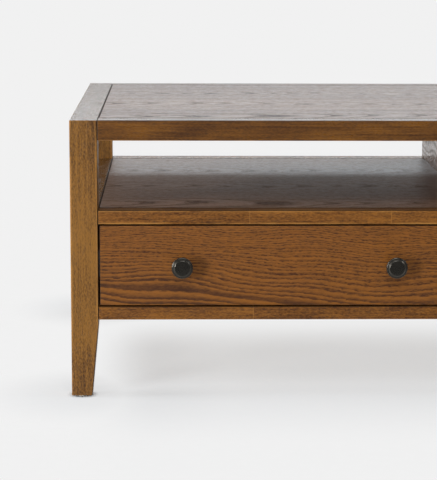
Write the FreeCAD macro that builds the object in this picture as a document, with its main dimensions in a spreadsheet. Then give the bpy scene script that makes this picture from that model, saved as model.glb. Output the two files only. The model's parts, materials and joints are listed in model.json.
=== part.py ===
"""Coffee table: an open shelf over two inset drawers, carried by two mitred end frames.

Millimetres, +Z up, front towards -Y. The origin lies on the floor under the middle of the
table, knobs included. Points are given as a side (-1 left, 1 right) or an end (-1 front,
1 back) and a distance from the middle.
"""
import FreeCAD, Part
import os
import re

import Sketcher
from FreeCAD import Placement, Rotation, Vector

SIZES = {
    # whole table
    "overall_width": 1370,
    "carcass_depth": 711,
    "overall_height": 460,
    "edge_ease": 1.4,
    # end frames: posts, panels in grooves, battens that carry the runners
    "post_width": 45,
    "post_depth": 45,
    "foot_width": 34,
    "taper_drop": 8,
    "groove_depth": 6,
    "groove_gap": 0.2,
    "panel_play": 0.5,
    "end_panel_thickness": 12,
    "end_panel_setback": 10,
    "batten_gap": 5,
    "batten_height": 60,
    "batten_dowel_pitch": 36,
    # levels, from the top down
    "top_height": 33,
    "top_rail_depth": 37,
    "top_panel_thickness": 22,
    "bay_height": 114,
    "shelf_height": 23,
    "shelf_front_lip": 25,
    "shelf_back_lip": 44,
    "drawer_opening": 137,
    "bottom_rail_height": 22,
    "bottom_rail_depth": 45,
    "rebate_width": 10,
    "bottom_board_thickness": 9,
    # uprights in the middle and the back
    "divider_thickness": 30,
    "divider_setback": 26,
    "stile_depth": 25,
    "back_panel_thickness": 9,
    "back_panel_setback": 8,
    # drawers
    "front_gap": 2.5,
    "drawer_front_thickness": 20,
    "box_board": 12,
    "box_lift": 15,
    "box_headroom": 17,
    "box_bottom_thickness": 6,
    "box_bottom_lift": 8,
    "rear_clearance": 111,
    "tail_root_share": 0.5,
    "tail_end_share": 0.7,
    # knobs
    "knob_spacing": 350,
    "knob_projection": 27,
    "knob_diameter": 35,
    "knob_rim_height": 6,
    "knob_disc_diameter": 27,
    "knob_disc_height": 2.4,
    "knob_neck_diameter": 12,
    "knob_base_diameter": 17,
    "knob_base_height": 2,
    "knob_neck_length": 8,
    "knob_round": 0.9,
    # three-member runners with ball cages
    "runner_thickness": 12.7,
    "runner_height": 45,
    "runner_steel": 1.2,
    "runner_setback": 5,
    "runner_end_gap": 30,
    "flange_room": 4.7,
    "head_clearance": 0.2,
    "ball_space": 3,
    "ball_gap": 0.1,
    "cage_end_gap": 7.5,
    "cage_length": 120,
    "cage_thickness": 1,
    "cage_width": 4.6,
    "runner_screw_inset": 40,
    # dowels, screws and glides
    "dowel_diameter": 8,
    "dowel_length": 30,
    "mitre_cover": 2,
    "glue_gap": 0.1,
    "bore_end": 1,
    "screw_diameter": 3.5,
    "screw_head_diameter": 7,
    "screw_head_height": 1,
    "bolt_diameter": 4,
    "bolt_head_diameter": 8,
    "bolt_head_height": 2.4,
    "screw_gap": 0.1,
    "case_screw_reach": 12,
    "side_screw_reach": 9,
    "front_screw_reach": 12,
    "front_screw_inset": 65,
    "front_screw_edge": 22,
    "knob_screw_reach": 11,
    "board_screw_cover": 3,
    "glide_height": 3,
    "glide_diameter": 20,
    "glide_nail_diameter": 3,
    "glide_nail_length": 14,
}

LEFT, RIGHT = -1, 1
FRONT, BACK = -1, 1
OUTER, INNER = 1, -1
SIDE_NAMES = {LEFT: "left", RIGHT: "right"}
END_NAMES = {FRONT: "front", BACK: "rear"}
HAND_NAMES = {OUTER: "outer", INNER: "inner"}

TOP_DOWELS_ALONG = 6
TOP_DOWELS_ACROSS = 4
SHELF_DOWELS_ACROSS = 3
DIVIDER_DOWELS = 4
BOARD_SCREWS_ALONG = 6
TAILS = 3
RUNNER_SCREWS = 3
CAGE_BALLS = 6

# where dowels and cages sit, as shares of the piece that they are in
TOP_RAIL_DOWELS = (0.2, 0.5)
END_RAIL_DOWELS = (0.25, 0.75)
SHELF_DOWEL = 0.58
BOTTOM_DOWEL = 0.42
STILE_DOWELS = (0.25, 0.75)
MITRE_DOWEL = 0.28
CAGE_SEAT = 0.6

# the outer cages follow the drawer by this share of its travel
CAGE_TRAVEL = 0.25

# tests on edges: no length, lengthwise, and at a given place
POINT = 0.001
LENGTHWISE = 0.9
NEAR = 0.1

# distances from the middle planes, and levels above the floor
X_OUT = "(overall_width / 2)"
X_IN = "(overall_width / 2 - post_width)"
Y_FACE = "(carcass_depth / 2)"
Y_POST = "(carcass_depth / 2 - post_depth)"
Z_TOP_UNDER = "(overall_height - top_height)"
Z_SHELF = f"({Z_TOP_UNDER} - bay_height)"
Z_SHELF_UNDER = f"({Z_SHELF} - shelf_height)"
Z_RAIL = f"({Z_SHELF_UNDER} - drawer_opening)"
Z_RAIL_UNDER = f"({Z_RAIL} - bottom_rail_height)"
Z_OPENING = f"({Z_RAIL} + drawer_opening / 2)"
Z_SHELF_DOWEL = f"({Z_SHELF_UNDER} + shelf_height * {SHELF_DOWEL})"
Z_BOTTOM_DOWEL = f"({Z_RAIL_UNDER} + bottom_rail_height * {BOTTOM_DOWEL})"

# the drawer opening, its box and its runners
BAY_WIDTH = f"({X_IN} - divider_thickness / 2)"
BAY_MIDDLE = f"(({X_IN} + divider_thickness / 2) / 2)"
BOX_WIDTH = f"({BAY_WIDTH} - 2 * runner_thickness)"
BOX_DEPTH = "(carcass_depth - drawer_front_thickness - rear_clearance)"
BOX_HEIGHT = "(drawer_opening - box_lift - box_headroom)"
Z_BOX = f"({Z_RAIL} + box_lift)"
Z_RUNNER = f"({Z_BOX} + {BOX_HEIGHT} / 2)"
RUNNER_LENGTH = f"({BOX_DEPTH} - runner_end_gap)"
BATTEN_THICKNESS = "(post_width - end_panel_setback - end_panel_thickness - batten_gap)"

# the runner's flanges, and the gap between two webs, which clears the screw heads
FLANGE = "(runner_thickness - flange_room)"
WEB_GAP = "(screw_head_height + head_clearance)"

doc = FreeCAD.newDocument("CoffeeTable")
sheet = doc.addObject("Spreadsheet::Sheet", "Sizes")
for row, (alias, number) in enumerate(SIZES.items(), start=1):
    sheet.set(f"A{row}", alias)
    sheet.set(f"B{row}", str(number))
    sheet.setAlias(f"B{row}", alias)
doc.recompute()

pieces = {}
dowels = []


def formula(text):
    """A formula with every size written as its cell in the sheet."""
    return re.sub(r"[a-z]\w+", lambda word: f"Sizes.{word[0]}" if word[0] in SIZES else word[0], text)


def value(text):
    """The number that a formula gives with the sheet's present sizes."""
    return float(sheet.evalExpression(formula(text)))


def bind(item, **fields):
    """Ties an object's fields to formulas."""
    for field, text in fields.items():
        item.setExpression(field, formula(text))


def place(item, x, y, z):
    """Ties an object's position to three formulas."""
    for axis, text in zip("xyz", (x, y, z)):
        item.setExpression(f"Placement.Base.{axis}", formula(text))


def at_side(side, distance):
    """The X of a distance from the middle plane, on the left or on the right."""
    return f"{side} * ({distance})"


def at_end(end, distance):
    """The Y of a distance from the carcass's middle, towards the front or the back."""
    return f"knob_projection / 2 + {end} * ({distance})"


def behind_front(distance):
    """The Y of a depth behind the front face."""
    return at_end(FRONT, f"{Y_FACE} - ({distance})")


def in_bay(side, hand, distance):
    """The X of a distance from the middle of a drawer opening, outwards or inwards."""
    return f"{side} * ({BAY_MIDDLE} + {hand} * ({distance}))"


def share(number, count, length):
    """The middle of one of several equal parts of a length, measured from the length's middle."""
    return f"{length} * {(2 * number + 1 - count) / (2 * count)}"


def slot(centre, size):
    """A rectangular block given by its centre and size, used as a cutter."""
    block = doc.addObject("Part::Box", "slot")
    bind(block, Length=size[0], Width=size[1], Height=size[2])
    place(block, *(f"{middle} - ({length}) / 2" for middle, length in zip(centre, size)))
    return block


def rod(axis, centre, radius, length):
    """A cylinder along X, Y or Z, given by its centre."""
    turns = {"x": Rotation(Vector(0, 1, 0), 90), "y": Rotation(Vector(1, 0, 0), -90), "z": Rotation()}
    cylinder = doc.addObject("Part::Cylinder", "rod")
    bind(cylinder, Radius=radius, Height=length)
    cylinder.Placement = Placement(Vector(), turns[axis])
    start = [f"{middle} - ({length}) / 2" if name == axis else middle for name, middle in zip("xyz", centre)]
    place(cylinder, *start)
    return cylinder


def joined(items):
    """Several solids as one, or the only one as it is."""
    if len(items) == 1:
        return items[0]
    union = doc.addObject("Part::MultiFuse", "union")
    union.Shapes = items
    return union


def less(label, base, cutters):
    """A solid with its grooves, bores and holes cut out."""
    if not cutters:
        return base
    cut = doc.addObject("Part::Cut", label)
    cut.Base = base
    cut.Tool = joined(cutters)
    return cut


def keep(label, base, cutters=()):
    """Names a finished sub-part, less what is cut out of it."""
    piece = less(label, base, cutters)
    piece.Label = label
    pieces[label] = piece


def keep_group(label, items):
    """Names a sub-part that is a group of separate solids."""
    group = doc.addObject("Part::Compound", label)
    group.Links = items
    keep(label, group)


def mirrored(source, normal, **base):
    """The mirror image of a solid in a plane given by its normal and its place."""
    twin = doc.addObject("Part::Mirroring", "twin")
    twin.Source = source
    twin.Normal = normal
    bind(twin, **{f"Base.{axis}": text for axis, text in base.items()})
    return twin


def eased(body, wanted, radius="edge_ease"):
    """Rounds the edges of a body's last feature that the test picks."""
    doc.recompute()
    base = body.Tip
    names = [f"Edge{number}" for number, edge in enumerate(base.Shape.Edges, start=1) if wanted(edge)]
    fillet = body.newObject("PartDesign::Fillet", f"{body.Name}_eased")
    fillet.Base = (base, names)
    bind(fillet, Radius=radius)
    body.Tip = fillet


def between(*pairs):
    """A test for a box's edges by the two faces that they lie between, all of them if none is named."""
    wanted = [frozenset(pair.split()) for pair in pairs]

    def test(edge):
        middle = edge.CenterOfMass
        span = edge.BoundBox
        sides = set()
        for low, high, spot, length in (
            ("left", "right", middle.x, span.XLength),
            ("front", "back", middle.y, span.YLength),
            ("bottom", "top", middle.z, span.ZLength),
        ):
            if length < POINT:
                sides.add(high if spot > POINT else low)
        return not wanted or frozenset(sides) in wanted

    return test


def board(name, centre, size, wanted=None):
    """A rectangular board given by its centre and size, with some edges eased."""
    body = doc.addObject("PartDesign::Body", f"{name}_blank")
    block = body.newObject("PartDesign::AdditiveBox", f"{name}_box")
    bind(block, Length=size[0], Width=size[1], Height=size[2])
    place(body, *(f"{middle} - ({length}) / 2" for middle, length in zip(centre, size)))
    if wanted:
        eased(body, wanted)
    return body


def outline(body, role, points):
    """A closed sketch on one of a body's own planes, each corner tied to two formulas."""
    sketch = body.newObject("Sketcher::SketchObject", f"{body.Name}_{role}")
    plane = next(item for item in body.Origin.OriginFeatures if item.Role == role)
    sketch.AttachmentSupport = (plane, [""])
    sketch.MapMode = "FlatFace"
    spots = [Vector(value(across), value(up), 0) for across, up in points]
    for start, stop in zip(spots, spots[1:] + spots[:1]):
        sketch.addGeometry(Part.LineSegment(start, stop), False)
    for number, (spot, point) in enumerate(zip(spots, points)):
        sketch.addConstraint(Sketcher.Constraint("Coincident", number, 2, (number + 1) % len(points), 1))
        for kind, length, text in (("DistanceX", spot.x, point[0]), ("DistanceY", spot.y, point[1])):
            index = sketch.addConstraint(Sketcher.Constraint(kind, -1, 1, number, 1, length))
            sketch.setExpression(f"Constraints[{index}]", formula(text))
    return sketch


def padded(name, role, points, thickness, reverse=False):
    """A body drawn as an outline and given a thickness."""
    body = doc.addObject("PartDesign::Body", f"{name}_blank")
    sketch = outline(body, role, points)
    pad = body.newObject("PartDesign::Pad", f"{name}_pad")
    pad.Profile = sketch
    pad.Reversed = reverse
    bind(pad, Length=thickness)
    return body


def turned(name, role, points):
    """A body of revolution about the upright axis of its outline."""
    body = doc.addObject("PartDesign::Body", f"{name}_blank")
    sketch = outline(body, role, points)
    spin = body.newObject("PartDesign::Revolution", f"{name}_spin")
    spin.Profile = sketch
    spin.ReferenceAxis = (sketch, ["V_Axis"])
    spin.Angle = 360
    return body


def dowel(axis, x, y, z):
    """A dowel across a joint, centred on the joint; gives the bore that takes it."""
    dowels.append(rod(axis, (x, y, z), "dowel_diameter / 2", "dowel_length"))
    return rod(axis, (x, y, z), "dowel_diameter / 2 + glue_gap", "dowel_length + 2 * bore_end")


def mitre_dowel(side, end):
    """A dowel square to the mitre of a leg and its top rail, as long as the rail covers; gives its bore."""
    tilt = "atan(top_height / post_depth)"
    rise = f"(top_height / 2 - mitre_cover - sin({tilt}) * dowel_diameter / 2)"
    made = []
    for radius, length in (
        ("dowel_diameter / 2", f"2 * {rise} / cos({tilt})"),
        ("dowel_diameter / 2 + glue_gap", f"2 * {rise} / cos({tilt}) + 2 * glue_gap"),
    ):
        peg = doc.addObject("Part::Cylinder", "mitre_rod")
        bind(peg, Radius=radius, Height=length)
        peg.Placement = Placement(Vector(), Rotation(Vector(1, 0, 0), 1))
        peg.setExpression("Placement.Rotation.Angle", formula(f"{end} * {tilt}"))
        place(
            peg,
            at_side(side, f"{X_OUT} - post_width * {MITRE_DOWEL}"),
            at_end(end, f"{Y_FACE} - post_depth / 2 + sin({tilt}) * ({length}) / 2"),
            f"overall_height - top_height / 2 - cos({tilt}) * ({length}) / 2",
        )
        made.append(peg)
    dowels.append(made[0])
    return made[1]


def screw(axis, way, seat, reach, kind):
    """A screw whose head sits on a face at the seat; gives the screw and the hole for its shank."""
    number = "xyz".index(axis)
    ahead = list(seat)
    ahead[number] = f"{seat[number]} + {way} * ({reach}) / 2"
    behind = list(seat)
    behind[number] = f"{seat[number]} - {way} * {kind}_head_height / 2"
    shank = rod(axis, ahead, f"{kind}_diameter / 2", reach)
    head = rod(axis, behind, f"{kind}_head_diameter / 2", f"{kind}_head_height")
    hole = rod(axis, ahead, f"{kind}_diameter / 2 + screw_gap", f"{reach} + 2 * bore_end")
    return joined([shank, head]), hole


def build_end_frames():
    """Legs, end rails, end panels and runner battens; gives the bores that the case shares with them."""
    shared = {}
    leg = padded(
        "leg",
        "YZ_Plane",
        [
            ("0", "0"),
            ("foot_width", "0"),
            ("post_depth", f"{Z_RAIL_UNDER} - taper_drop - glide_height"),
            ("post_depth", f"{Z_TOP_UNDER} - glide_height"),
            ("0", "overall_height - glide_height"),
        ],
        "post_width",
    )
    place(leg, at_side(LEFT, X_OUT), at_end(FRONT, Y_FACE), "glide_height")
    taper = outline(
        leg,
        "XZ_Plane",
        [
            ("foot_width", "0"),
            ("post_width + foot_width", "0"),
            ("post_width + foot_width", f"{Z_RAIL_UNDER} - taper_drop - glide_height"),
            ("post_width", f"{Z_RAIL_UNDER} - taper_drop - glide_height"),
        ],
    )
    pocket = leg.newObject("PartDesign::Pocket", "leg_taper")
    pocket.Profile = taper
    pocket.Type = "ThroughAll"
    pocket.SideType = "Symmetric"
    foot = value("foot_width")

    def upright(edge):
        middle = edge.CenterOfMass
        at_inner_corner = middle.x > foot and middle.y > foot
        return abs(edge.tangentAt(edge.FirstParameter).z) > LENGTHWISE and not at_inner_corner

    eased(leg, upright)
    leg_blanks = {(LEFT, FRONT): leg, (LEFT, BACK): mirrored(leg, (0, 1, 0), y="knob_projection / 2")}
    for end in (FRONT, BACK):
        leg_blanks[RIGHT, end] = mirrored(leg_blanks[LEFT, end], (1, 0, 0))

    back_slot = slot(
        ("0", at_end(BACK, f"{Y_FACE} - back_panel_setback - back_panel_thickness / 2"), Z_OPENING),
        (
            f"2 * ({X_IN} + groove_depth)",
            "back_panel_thickness + 2 * groove_gap",
            "drawer_opening + 2 * groove_depth",
        ),
    )
    shared["back_slot"] = back_slot

    for side, name in SIDE_NAMES.items():
        panel_middle = (
            at_side(side, f"{X_OUT} - end_panel_setback - end_panel_thickness / 2"),
            "knob_projection / 2",
            Z_OPENING,
        )
        panel_length = f"2 * ({Y_POST} + groove_depth)"
        panel_slot = slot(
            panel_middle,
            ("end_panel_thickness + 2 * groove_gap", panel_length, "drawer_opening + 2 * groove_depth"),
        )
        keep(
            f"end_panel_{name}",
            board(
                f"end_panel_{name}",
                panel_middle,
                (
                    "end_panel_thickness",
                    f"{panel_length} - 2 * panel_play",
                    "drawer_opening + 2 * groove_depth - 2 * panel_play",
                ),
            ),
        )

        top_bores = [
            dowel(
                "x",
                at_side(side, X_IN),
                at_end(FRONT, share(number, TOP_DOWELS_ACROSS, f"2 * {Y_POST}")),
                "overall_height - top_panel_thickness / 2",
            )
            for number in range(TOP_DOWELS_ACROSS)
        ]
        shelf_bores = [
            dowel(
                "x",
                at_side(side, X_IN),
                at_end(FRONT, share(number, SHELF_DOWELS_ACROSS, f"2 * {Y_POST}")),
                Z_SHELF_DOWEL,
            )
            for number in range(SHELF_DOWELS_ACROSS)
        ]
        shared["top", side] = list(top_bores)
        shared["shelf", side] = list(shelf_bores)
        bottom_bores = []
        batten_bores = []
        for end, end_name in END_NAMES.items():
            mitre_bore = mitre_dowel(side, end)
            rail_bores = [
                dowel(
                    "x",
                    at_side(side, X_IN),
                    at_end(end, f"{Y_FACE} - post_depth * {part}"),
                    f"{Z_TOP_UNDER} + top_height / 4",
                )
                for part in TOP_RAIL_DOWELS
            ]
            lip_bore = dowel(
                "x",
                at_side(side, X_IN),
                at_end(end, f"{Y_FACE} - shelf_front_lip / 2"),
                Z_SHELF_DOWEL,
            )
            foot_rail_bore = dowel(
                "x",
                at_side(side, X_IN),
                at_end(end, f"{Y_FACE} - bottom_rail_depth / 4"),
                Z_BOTTOM_DOWEL,
            )
            end_bores = {
                level: [
                    dowel(
                        "y",
                        at_side(side, f"{X_OUT} - post_width * {part}"),
                        at_end(end, Y_POST),
                        height,
                    )
                    for part in END_RAIL_DOWELS
                ]
                for level, height in (("shelf", Z_SHELF_DOWEL), ("bottom", Z_BOTTOM_DOWEL))
            }
            batten_ends = [
                dowel(
                    "y",
                    at_side(side, f"{X_IN} + {BATTEN_THICKNESS} / 2"),
                    at_end(end, Y_POST),
                    f"{Z_RUNNER} + {step} * batten_dowel_pitch / 2",
                )
                for step in (-1, 1)
            ]
            nail_hole = rod(
                "z",
                (
                    at_side(side, f"{X_OUT} - foot_width / 2"),
                    at_end(end, f"{Y_FACE} - foot_width / 2"),
                    "glide_height + glide_nail_length / 2",
                ),
                "glide_nail_diameter / 2 + screw_gap",
                "glide_nail_length + 2 * bore_end",
            )
            cutters = [mitre_bore, lip_bore, foot_rail_bore, nail_hole, panel_slot]
            cutters += rail_bores + end_bores["shelf"] + end_bores["bottom"] + batten_ends
            if end == BACK:
                cutters.append(back_slot)
            label = f"leg_{end_name}_{name}"
            keep(label, leg_blanks[side, end], cutters)

            top_bores.append(mitre_bore)
            shelf_bores += end_bores["shelf"]
            bottom_bores += end_bores["bottom"]
            batten_bores += batten_ends
            shared["top_rail", side, end] = rail_bores
            shared["lip", side, end] = [lip_bore]
            shared["bottom_rail", side, end] = [foot_rail_bore]
        shared["batten", side] = batten_bores

        top_rail = padded(
            f"end_top_rail_{name}",
            "YZ_Plane",
            [
                ("0", "top_height"),
                ("post_depth", "0"),
                ("carcass_depth - post_depth", "0"),
                ("carcass_depth", "top_height"),
            ],
            "post_width",
        )
        place(
            top_rail,
            f"{at_side(side, f'{X_OUT} - post_width / 2')} - post_width / 2",
            behind_front("0"),
            Z_TOP_UNDER,
        )
        eased(top_rail, lambda edge: abs(edge.tangentAt(edge.FirstParameter).y) > LENGTHWISE)
        keep(f"end_top_rail_{name}", top_rail, top_bores)

        for level, height, thickness, bores in (
            ("shelf", f"{Z_SHELF} - shelf_height / 2", "shelf_height", shelf_bores),
            ("bottom", f"{Z_RAIL} - bottom_rail_height / 2", "bottom_rail_height", bottom_bores),
        ):
            label = f"end_{level}_rail_{name}"
            rail = board(
                label,
                (at_side(side, f"{X_OUT} - post_width / 2"), "knob_projection / 2", height),
                ("post_width", f"2 * {Y_POST}", thickness),
                between(),
            )
            keep(label, rail, bores + [panel_slot])
    return shared


def build_case(shared):
    """Top, shelf, uprights, bottom and back; gives the bores that the partition shares with the runners."""
    inner_width = f"2 * {X_IN}"
    rail_ends = ("left top", "left front", "left back", "left bottom")
    rail_ends += ("right top", "right front", "right back", "right bottom")

    def along(number, y, z):
        return dowel("y", share(number, TOP_DOWELS_ALONG, inner_width), y, z)

    top_bores = []
    shelf_bores = []
    for end, end_name, lip, free, tight in (
        (FRONT, "front", "shelf_front_lip", "front", "back"),
        (BACK, "back", "shelf_back_lip", "back", "front"),
    ):
        panel_edge = at_end(end, f"{Y_FACE} - top_rail_depth")
        panel_bores = [
            along(number, panel_edge, "overall_height - top_panel_thickness / 2")
            for number in range(TOP_DOWELS_ALONG)
        ]
        rail = board(
            f"top_{end_name}_rail",
            (
                "0",
                at_end(end, f"{Y_FACE} - top_rail_depth / 2"),
                f"{Z_TOP_UNDER} + top_height / 2",
            ),
            (inner_width, "top_rail_depth", "top_height"),
            between(f"{free} top", f"{free} bottom", f"{tight} bottom", *rail_ends),
        )
        end_bores = shared["top_rail", LEFT, end] + shared["top_rail", RIGHT, end]
        keep(f"top_{end_name}_rail", rail, panel_bores + end_bores)
        top_bores += panel_bores

        panel_bores = [
            along(number, at_end(end, f"{Y_FACE} - {lip}"), Z_SHELF_DOWEL)
            for number in range(TOP_DOWELS_ALONG)
        ]
        strip = board(
            f"shelf_{end_name}_lip",
            ("0", at_end(end, f"{Y_FACE} - {lip} / 2"), f"{Z_SHELF} - shelf_height / 2"),
            (inner_width, lip, "shelf_height"),
            between(f"{free} top", f"{free} bottom", *rail_ends),
        )
        cutters = panel_bores + shared["lip", LEFT, end] + shared["lip", RIGHT, end]
        if end == BACK:
            cutters.append(shared["back_slot"])
        shared["lip_blank", end] = (strip, cutters)
        shelf_bores += panel_bores

    divider_length = "(carcass_depth - 2 * divider_setback)"
    foot_bores = []
    head_bores = []
    for number in range(DIVIDER_DOWELS):
        spot = at_end(FRONT, share(number, DIVIDER_DOWELS, divider_length))
        foot_bores.append(dowel("z", "0", spot, Z_SHELF))
        head_bores.append(dowel("z", "0", spot, "overall_height - top_panel_thickness"))
    divider = board(
        "shelf_divider",
        ("0", "knob_projection / 2", f"({Z_SHELF} + overall_height - top_panel_thickness) / 2"),
        ("divider_thickness", divider_length, f"overall_height - top_panel_thickness - {Z_SHELF}"),
        between("left front", "right front", "left back", "right back"),
    )
    notches = [
        slot(
            ("0", at_end(end, f"{Y_FACE} - top_rail_depth / 2"), f"{Z_TOP_UNDER} + top_height / 2"),
            ("2 * divider_thickness", "top_rail_depth + 2 * groove_gap", "top_height + 2 * groove_gap"),
        )
        for end in (FRONT, BACK)
    ]
    keep("shelf_divider", divider, notches + foot_bores + head_bores)

    top_panel = board(
        "top_panel",
        ("0", "knob_projection / 2", "overall_height - top_panel_thickness / 2"),
        (inner_width, "carcass_depth - 2 * top_rail_depth", "top_panel_thickness"),
        between("left top", "right top"),
    )
    top_bores += shared["top", LEFT] + shared["top", RIGHT] + head_bores
    keep("top_panel", top_panel, top_bores)

    partition_front = "stile_depth"
    partition_back = "(carcass_depth - back_panel_setback - back_panel_thickness)"
    partition_head = [
        dowel(
            "z",
            "0",
            behind_front(f"divider_setback + {divider_length} * {number / DIVIDER_DOWELS}"),
            Z_SHELF_UNDER,
        )
        for number in range(1, DIVIDER_DOWELS)
    ]
    foot_inset = "(back_panel_setback + back_panel_thickness + bottom_rail_depth - rebate_width) / 2"
    partition_foot = dowel("z", "0", at_end(BACK, f"{Y_FACE} - {foot_inset}"), Z_RAIL)
    partition = board(
        "centre_partition",
        ("0", behind_front(f"({partition_front} + {partition_back}) / 2"), Z_OPENING),
        ("divider_thickness", f"{partition_back} - {partition_front}", "drawer_opening"),
    )

    stile_head = dowel("z", "0", behind_front("stile_depth / 2"), Z_SHELF_UNDER)
    stile_foot = dowel("z", "0", behind_front("stile_depth / 2"), Z_RAIL)
    stile_back = [
        dowel("y", "0", behind_front("stile_depth"), f"{Z_RAIL} + drawer_opening * {part}")
        for part in STILE_DOWELS
    ]
    stile = board(
        "centre_stile",
        ("0", behind_front("stile_depth / 2"), Z_OPENING),
        ("divider_thickness", "stile_depth", "drawer_opening"),
        between("left front", "right front", "front top", "front bottom"),
    )
    keep("centre_stile", stile, [stile_head, stile_foot] + stile_back)

    shelf_middle = "(shelf_front_lip - shelf_back_lip) / 2 + knob_projection / 2"
    shelf_panel = board(
        "shelf_panel",
        ("0", shelf_middle, f"{Z_SHELF} - shelf_height / 2"),
        (inner_width, "carcass_depth - shelf_front_lip - shelf_back_lip", "shelf_height"),
        between("left top", "right top"),
    )
    shelf_bores += shared["shelf", LEFT] + shared["shelf", RIGHT] + foot_bores + partition_head
    keep("shelf_panel", shelf_panel, shelf_bores)
    for end, end_name, extra in ((FRONT, "front", [stile_head]), (BACK, "back", [])):
        strip, cutters = shared["lip_blank", end]
        keep(f"shelf_{end_name}_lip", strip, cutters + extra)

    build_bottom(shared, stile_foot, partition_foot)
    keep(
        "back_panel",
        board(
            "back_panel",
            ("0", at_end(BACK, f"{Y_FACE} - back_panel_setback - back_panel_thickness / 2"), Z_OPENING),
            (
                f"2 * ({X_IN} + groove_depth - panel_play)",
                "back_panel_thickness",
                "drawer_opening + 2 * groove_depth - 2 * panel_play",
            ),
        ),
    )
    return partition, partition_head + stile_back + [partition_foot]


def build_bottom(shared, stile_foot, partition_foot):
    """Bottom rails and the board that lies in their rebates, screwed down."""
    inner_width = f"2 * {X_IN}"
    board_depth = "(carcass_depth - 2 * bottom_rail_depth + 2 * rebate_width)"
    board_level = f"{Z_RAIL} - bottom_board_thickness / 2"
    rebate = slot(
        ("0", "knob_projection / 2", f"{board_level} + bore_end / 2"),
        (
            f"{inner_width} + 2 * bore_end",
            f"{board_depth} + 2 * groove_gap",
            "bottom_board_thickness + bore_end",
        ),
    )
    rail_ends = ("left front", "left back", "left bottom", "right front", "right back", "right bottom")
    screws = []
    board_holes = []
    for end, end_name, free, foot_bores in (
        (FRONT, "front", "front", [stile_foot]),
        (BACK, "back", "back", [partition_foot]),
    ):
        holes = []
        for number in range(BOARD_SCREWS_ALONG):
            seat = (
                share(number, BOARD_SCREWS_ALONG, inner_width),
                at_end(end, f"{Y_FACE} - bottom_rail_depth + rebate_width / 2"),
                Z_RAIL,
            )
            made, hole = screw("z", -1, seat, "bottom_rail_height - board_screw_cover", "screw")
            screws.append(made)
            holes.append(hole)
        rail = board(
            f"bottom_{end_name}_rail",
            (
                "0",
                at_end(end, f"{Y_FACE} - bottom_rail_depth / 2"),
                f"{Z_RAIL} - bottom_rail_height / 2",
            ),
            (inner_width, "bottom_rail_depth", "bottom_rail_height"),
            between(f"{free} top", "front bottom", "back bottom", *rail_ends),
        )
        cutters = [rebate] + holes + foot_bores
        cutters += shared["bottom_rail", LEFT, end] + shared["bottom_rail", RIGHT, end]
        if end == BACK:
            cutters.append(shared["back_slot"])
        keep(f"bottom_{end_name}_rail", rail, cutters)
        board_holes += holes
    bottom_board = board(
        "bottom_board",
        ("0", "knob_projection / 2", board_level),
        (inner_width, board_depth, "bottom_board_thickness"),
    )
    keep("bottom_board", bottom_board, board_holes)
    keep_group("bottom_board_screws", screws)


def tail_outline():
    """The outline of a drawer side, with dovetails at both ends, along its depth and its height."""
    pitch = f"{BOX_HEIGHT} / {TAILS}"
    near = [("box_board", "0")]
    far = [(f"{BOX_DEPTH} - box_board", "0")]
    for number in range(TAILS):
        middle = f"{pitch} * {number + 0.5}"
        corners = (
            ("box_board", f"{middle} - {pitch} * tail_root_share / 2"),
            ("0", f"{middle} - {pitch} * tail_end_share / 2"),
            ("0", f"{middle} + {pitch} * tail_end_share / 2"),
            ("box_board", f"{middle} + {pitch} * tail_root_share / 2"),
        )
        near += corners
        far += [(f"{BOX_DEPTH} - {across}", up) for across, up in corners]
    near.append(("box_board", BOX_HEIGHT))
    far.append((f"{BOX_DEPTH} - box_board", BOX_HEIGHT))
    return near[::-1] + far


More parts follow.
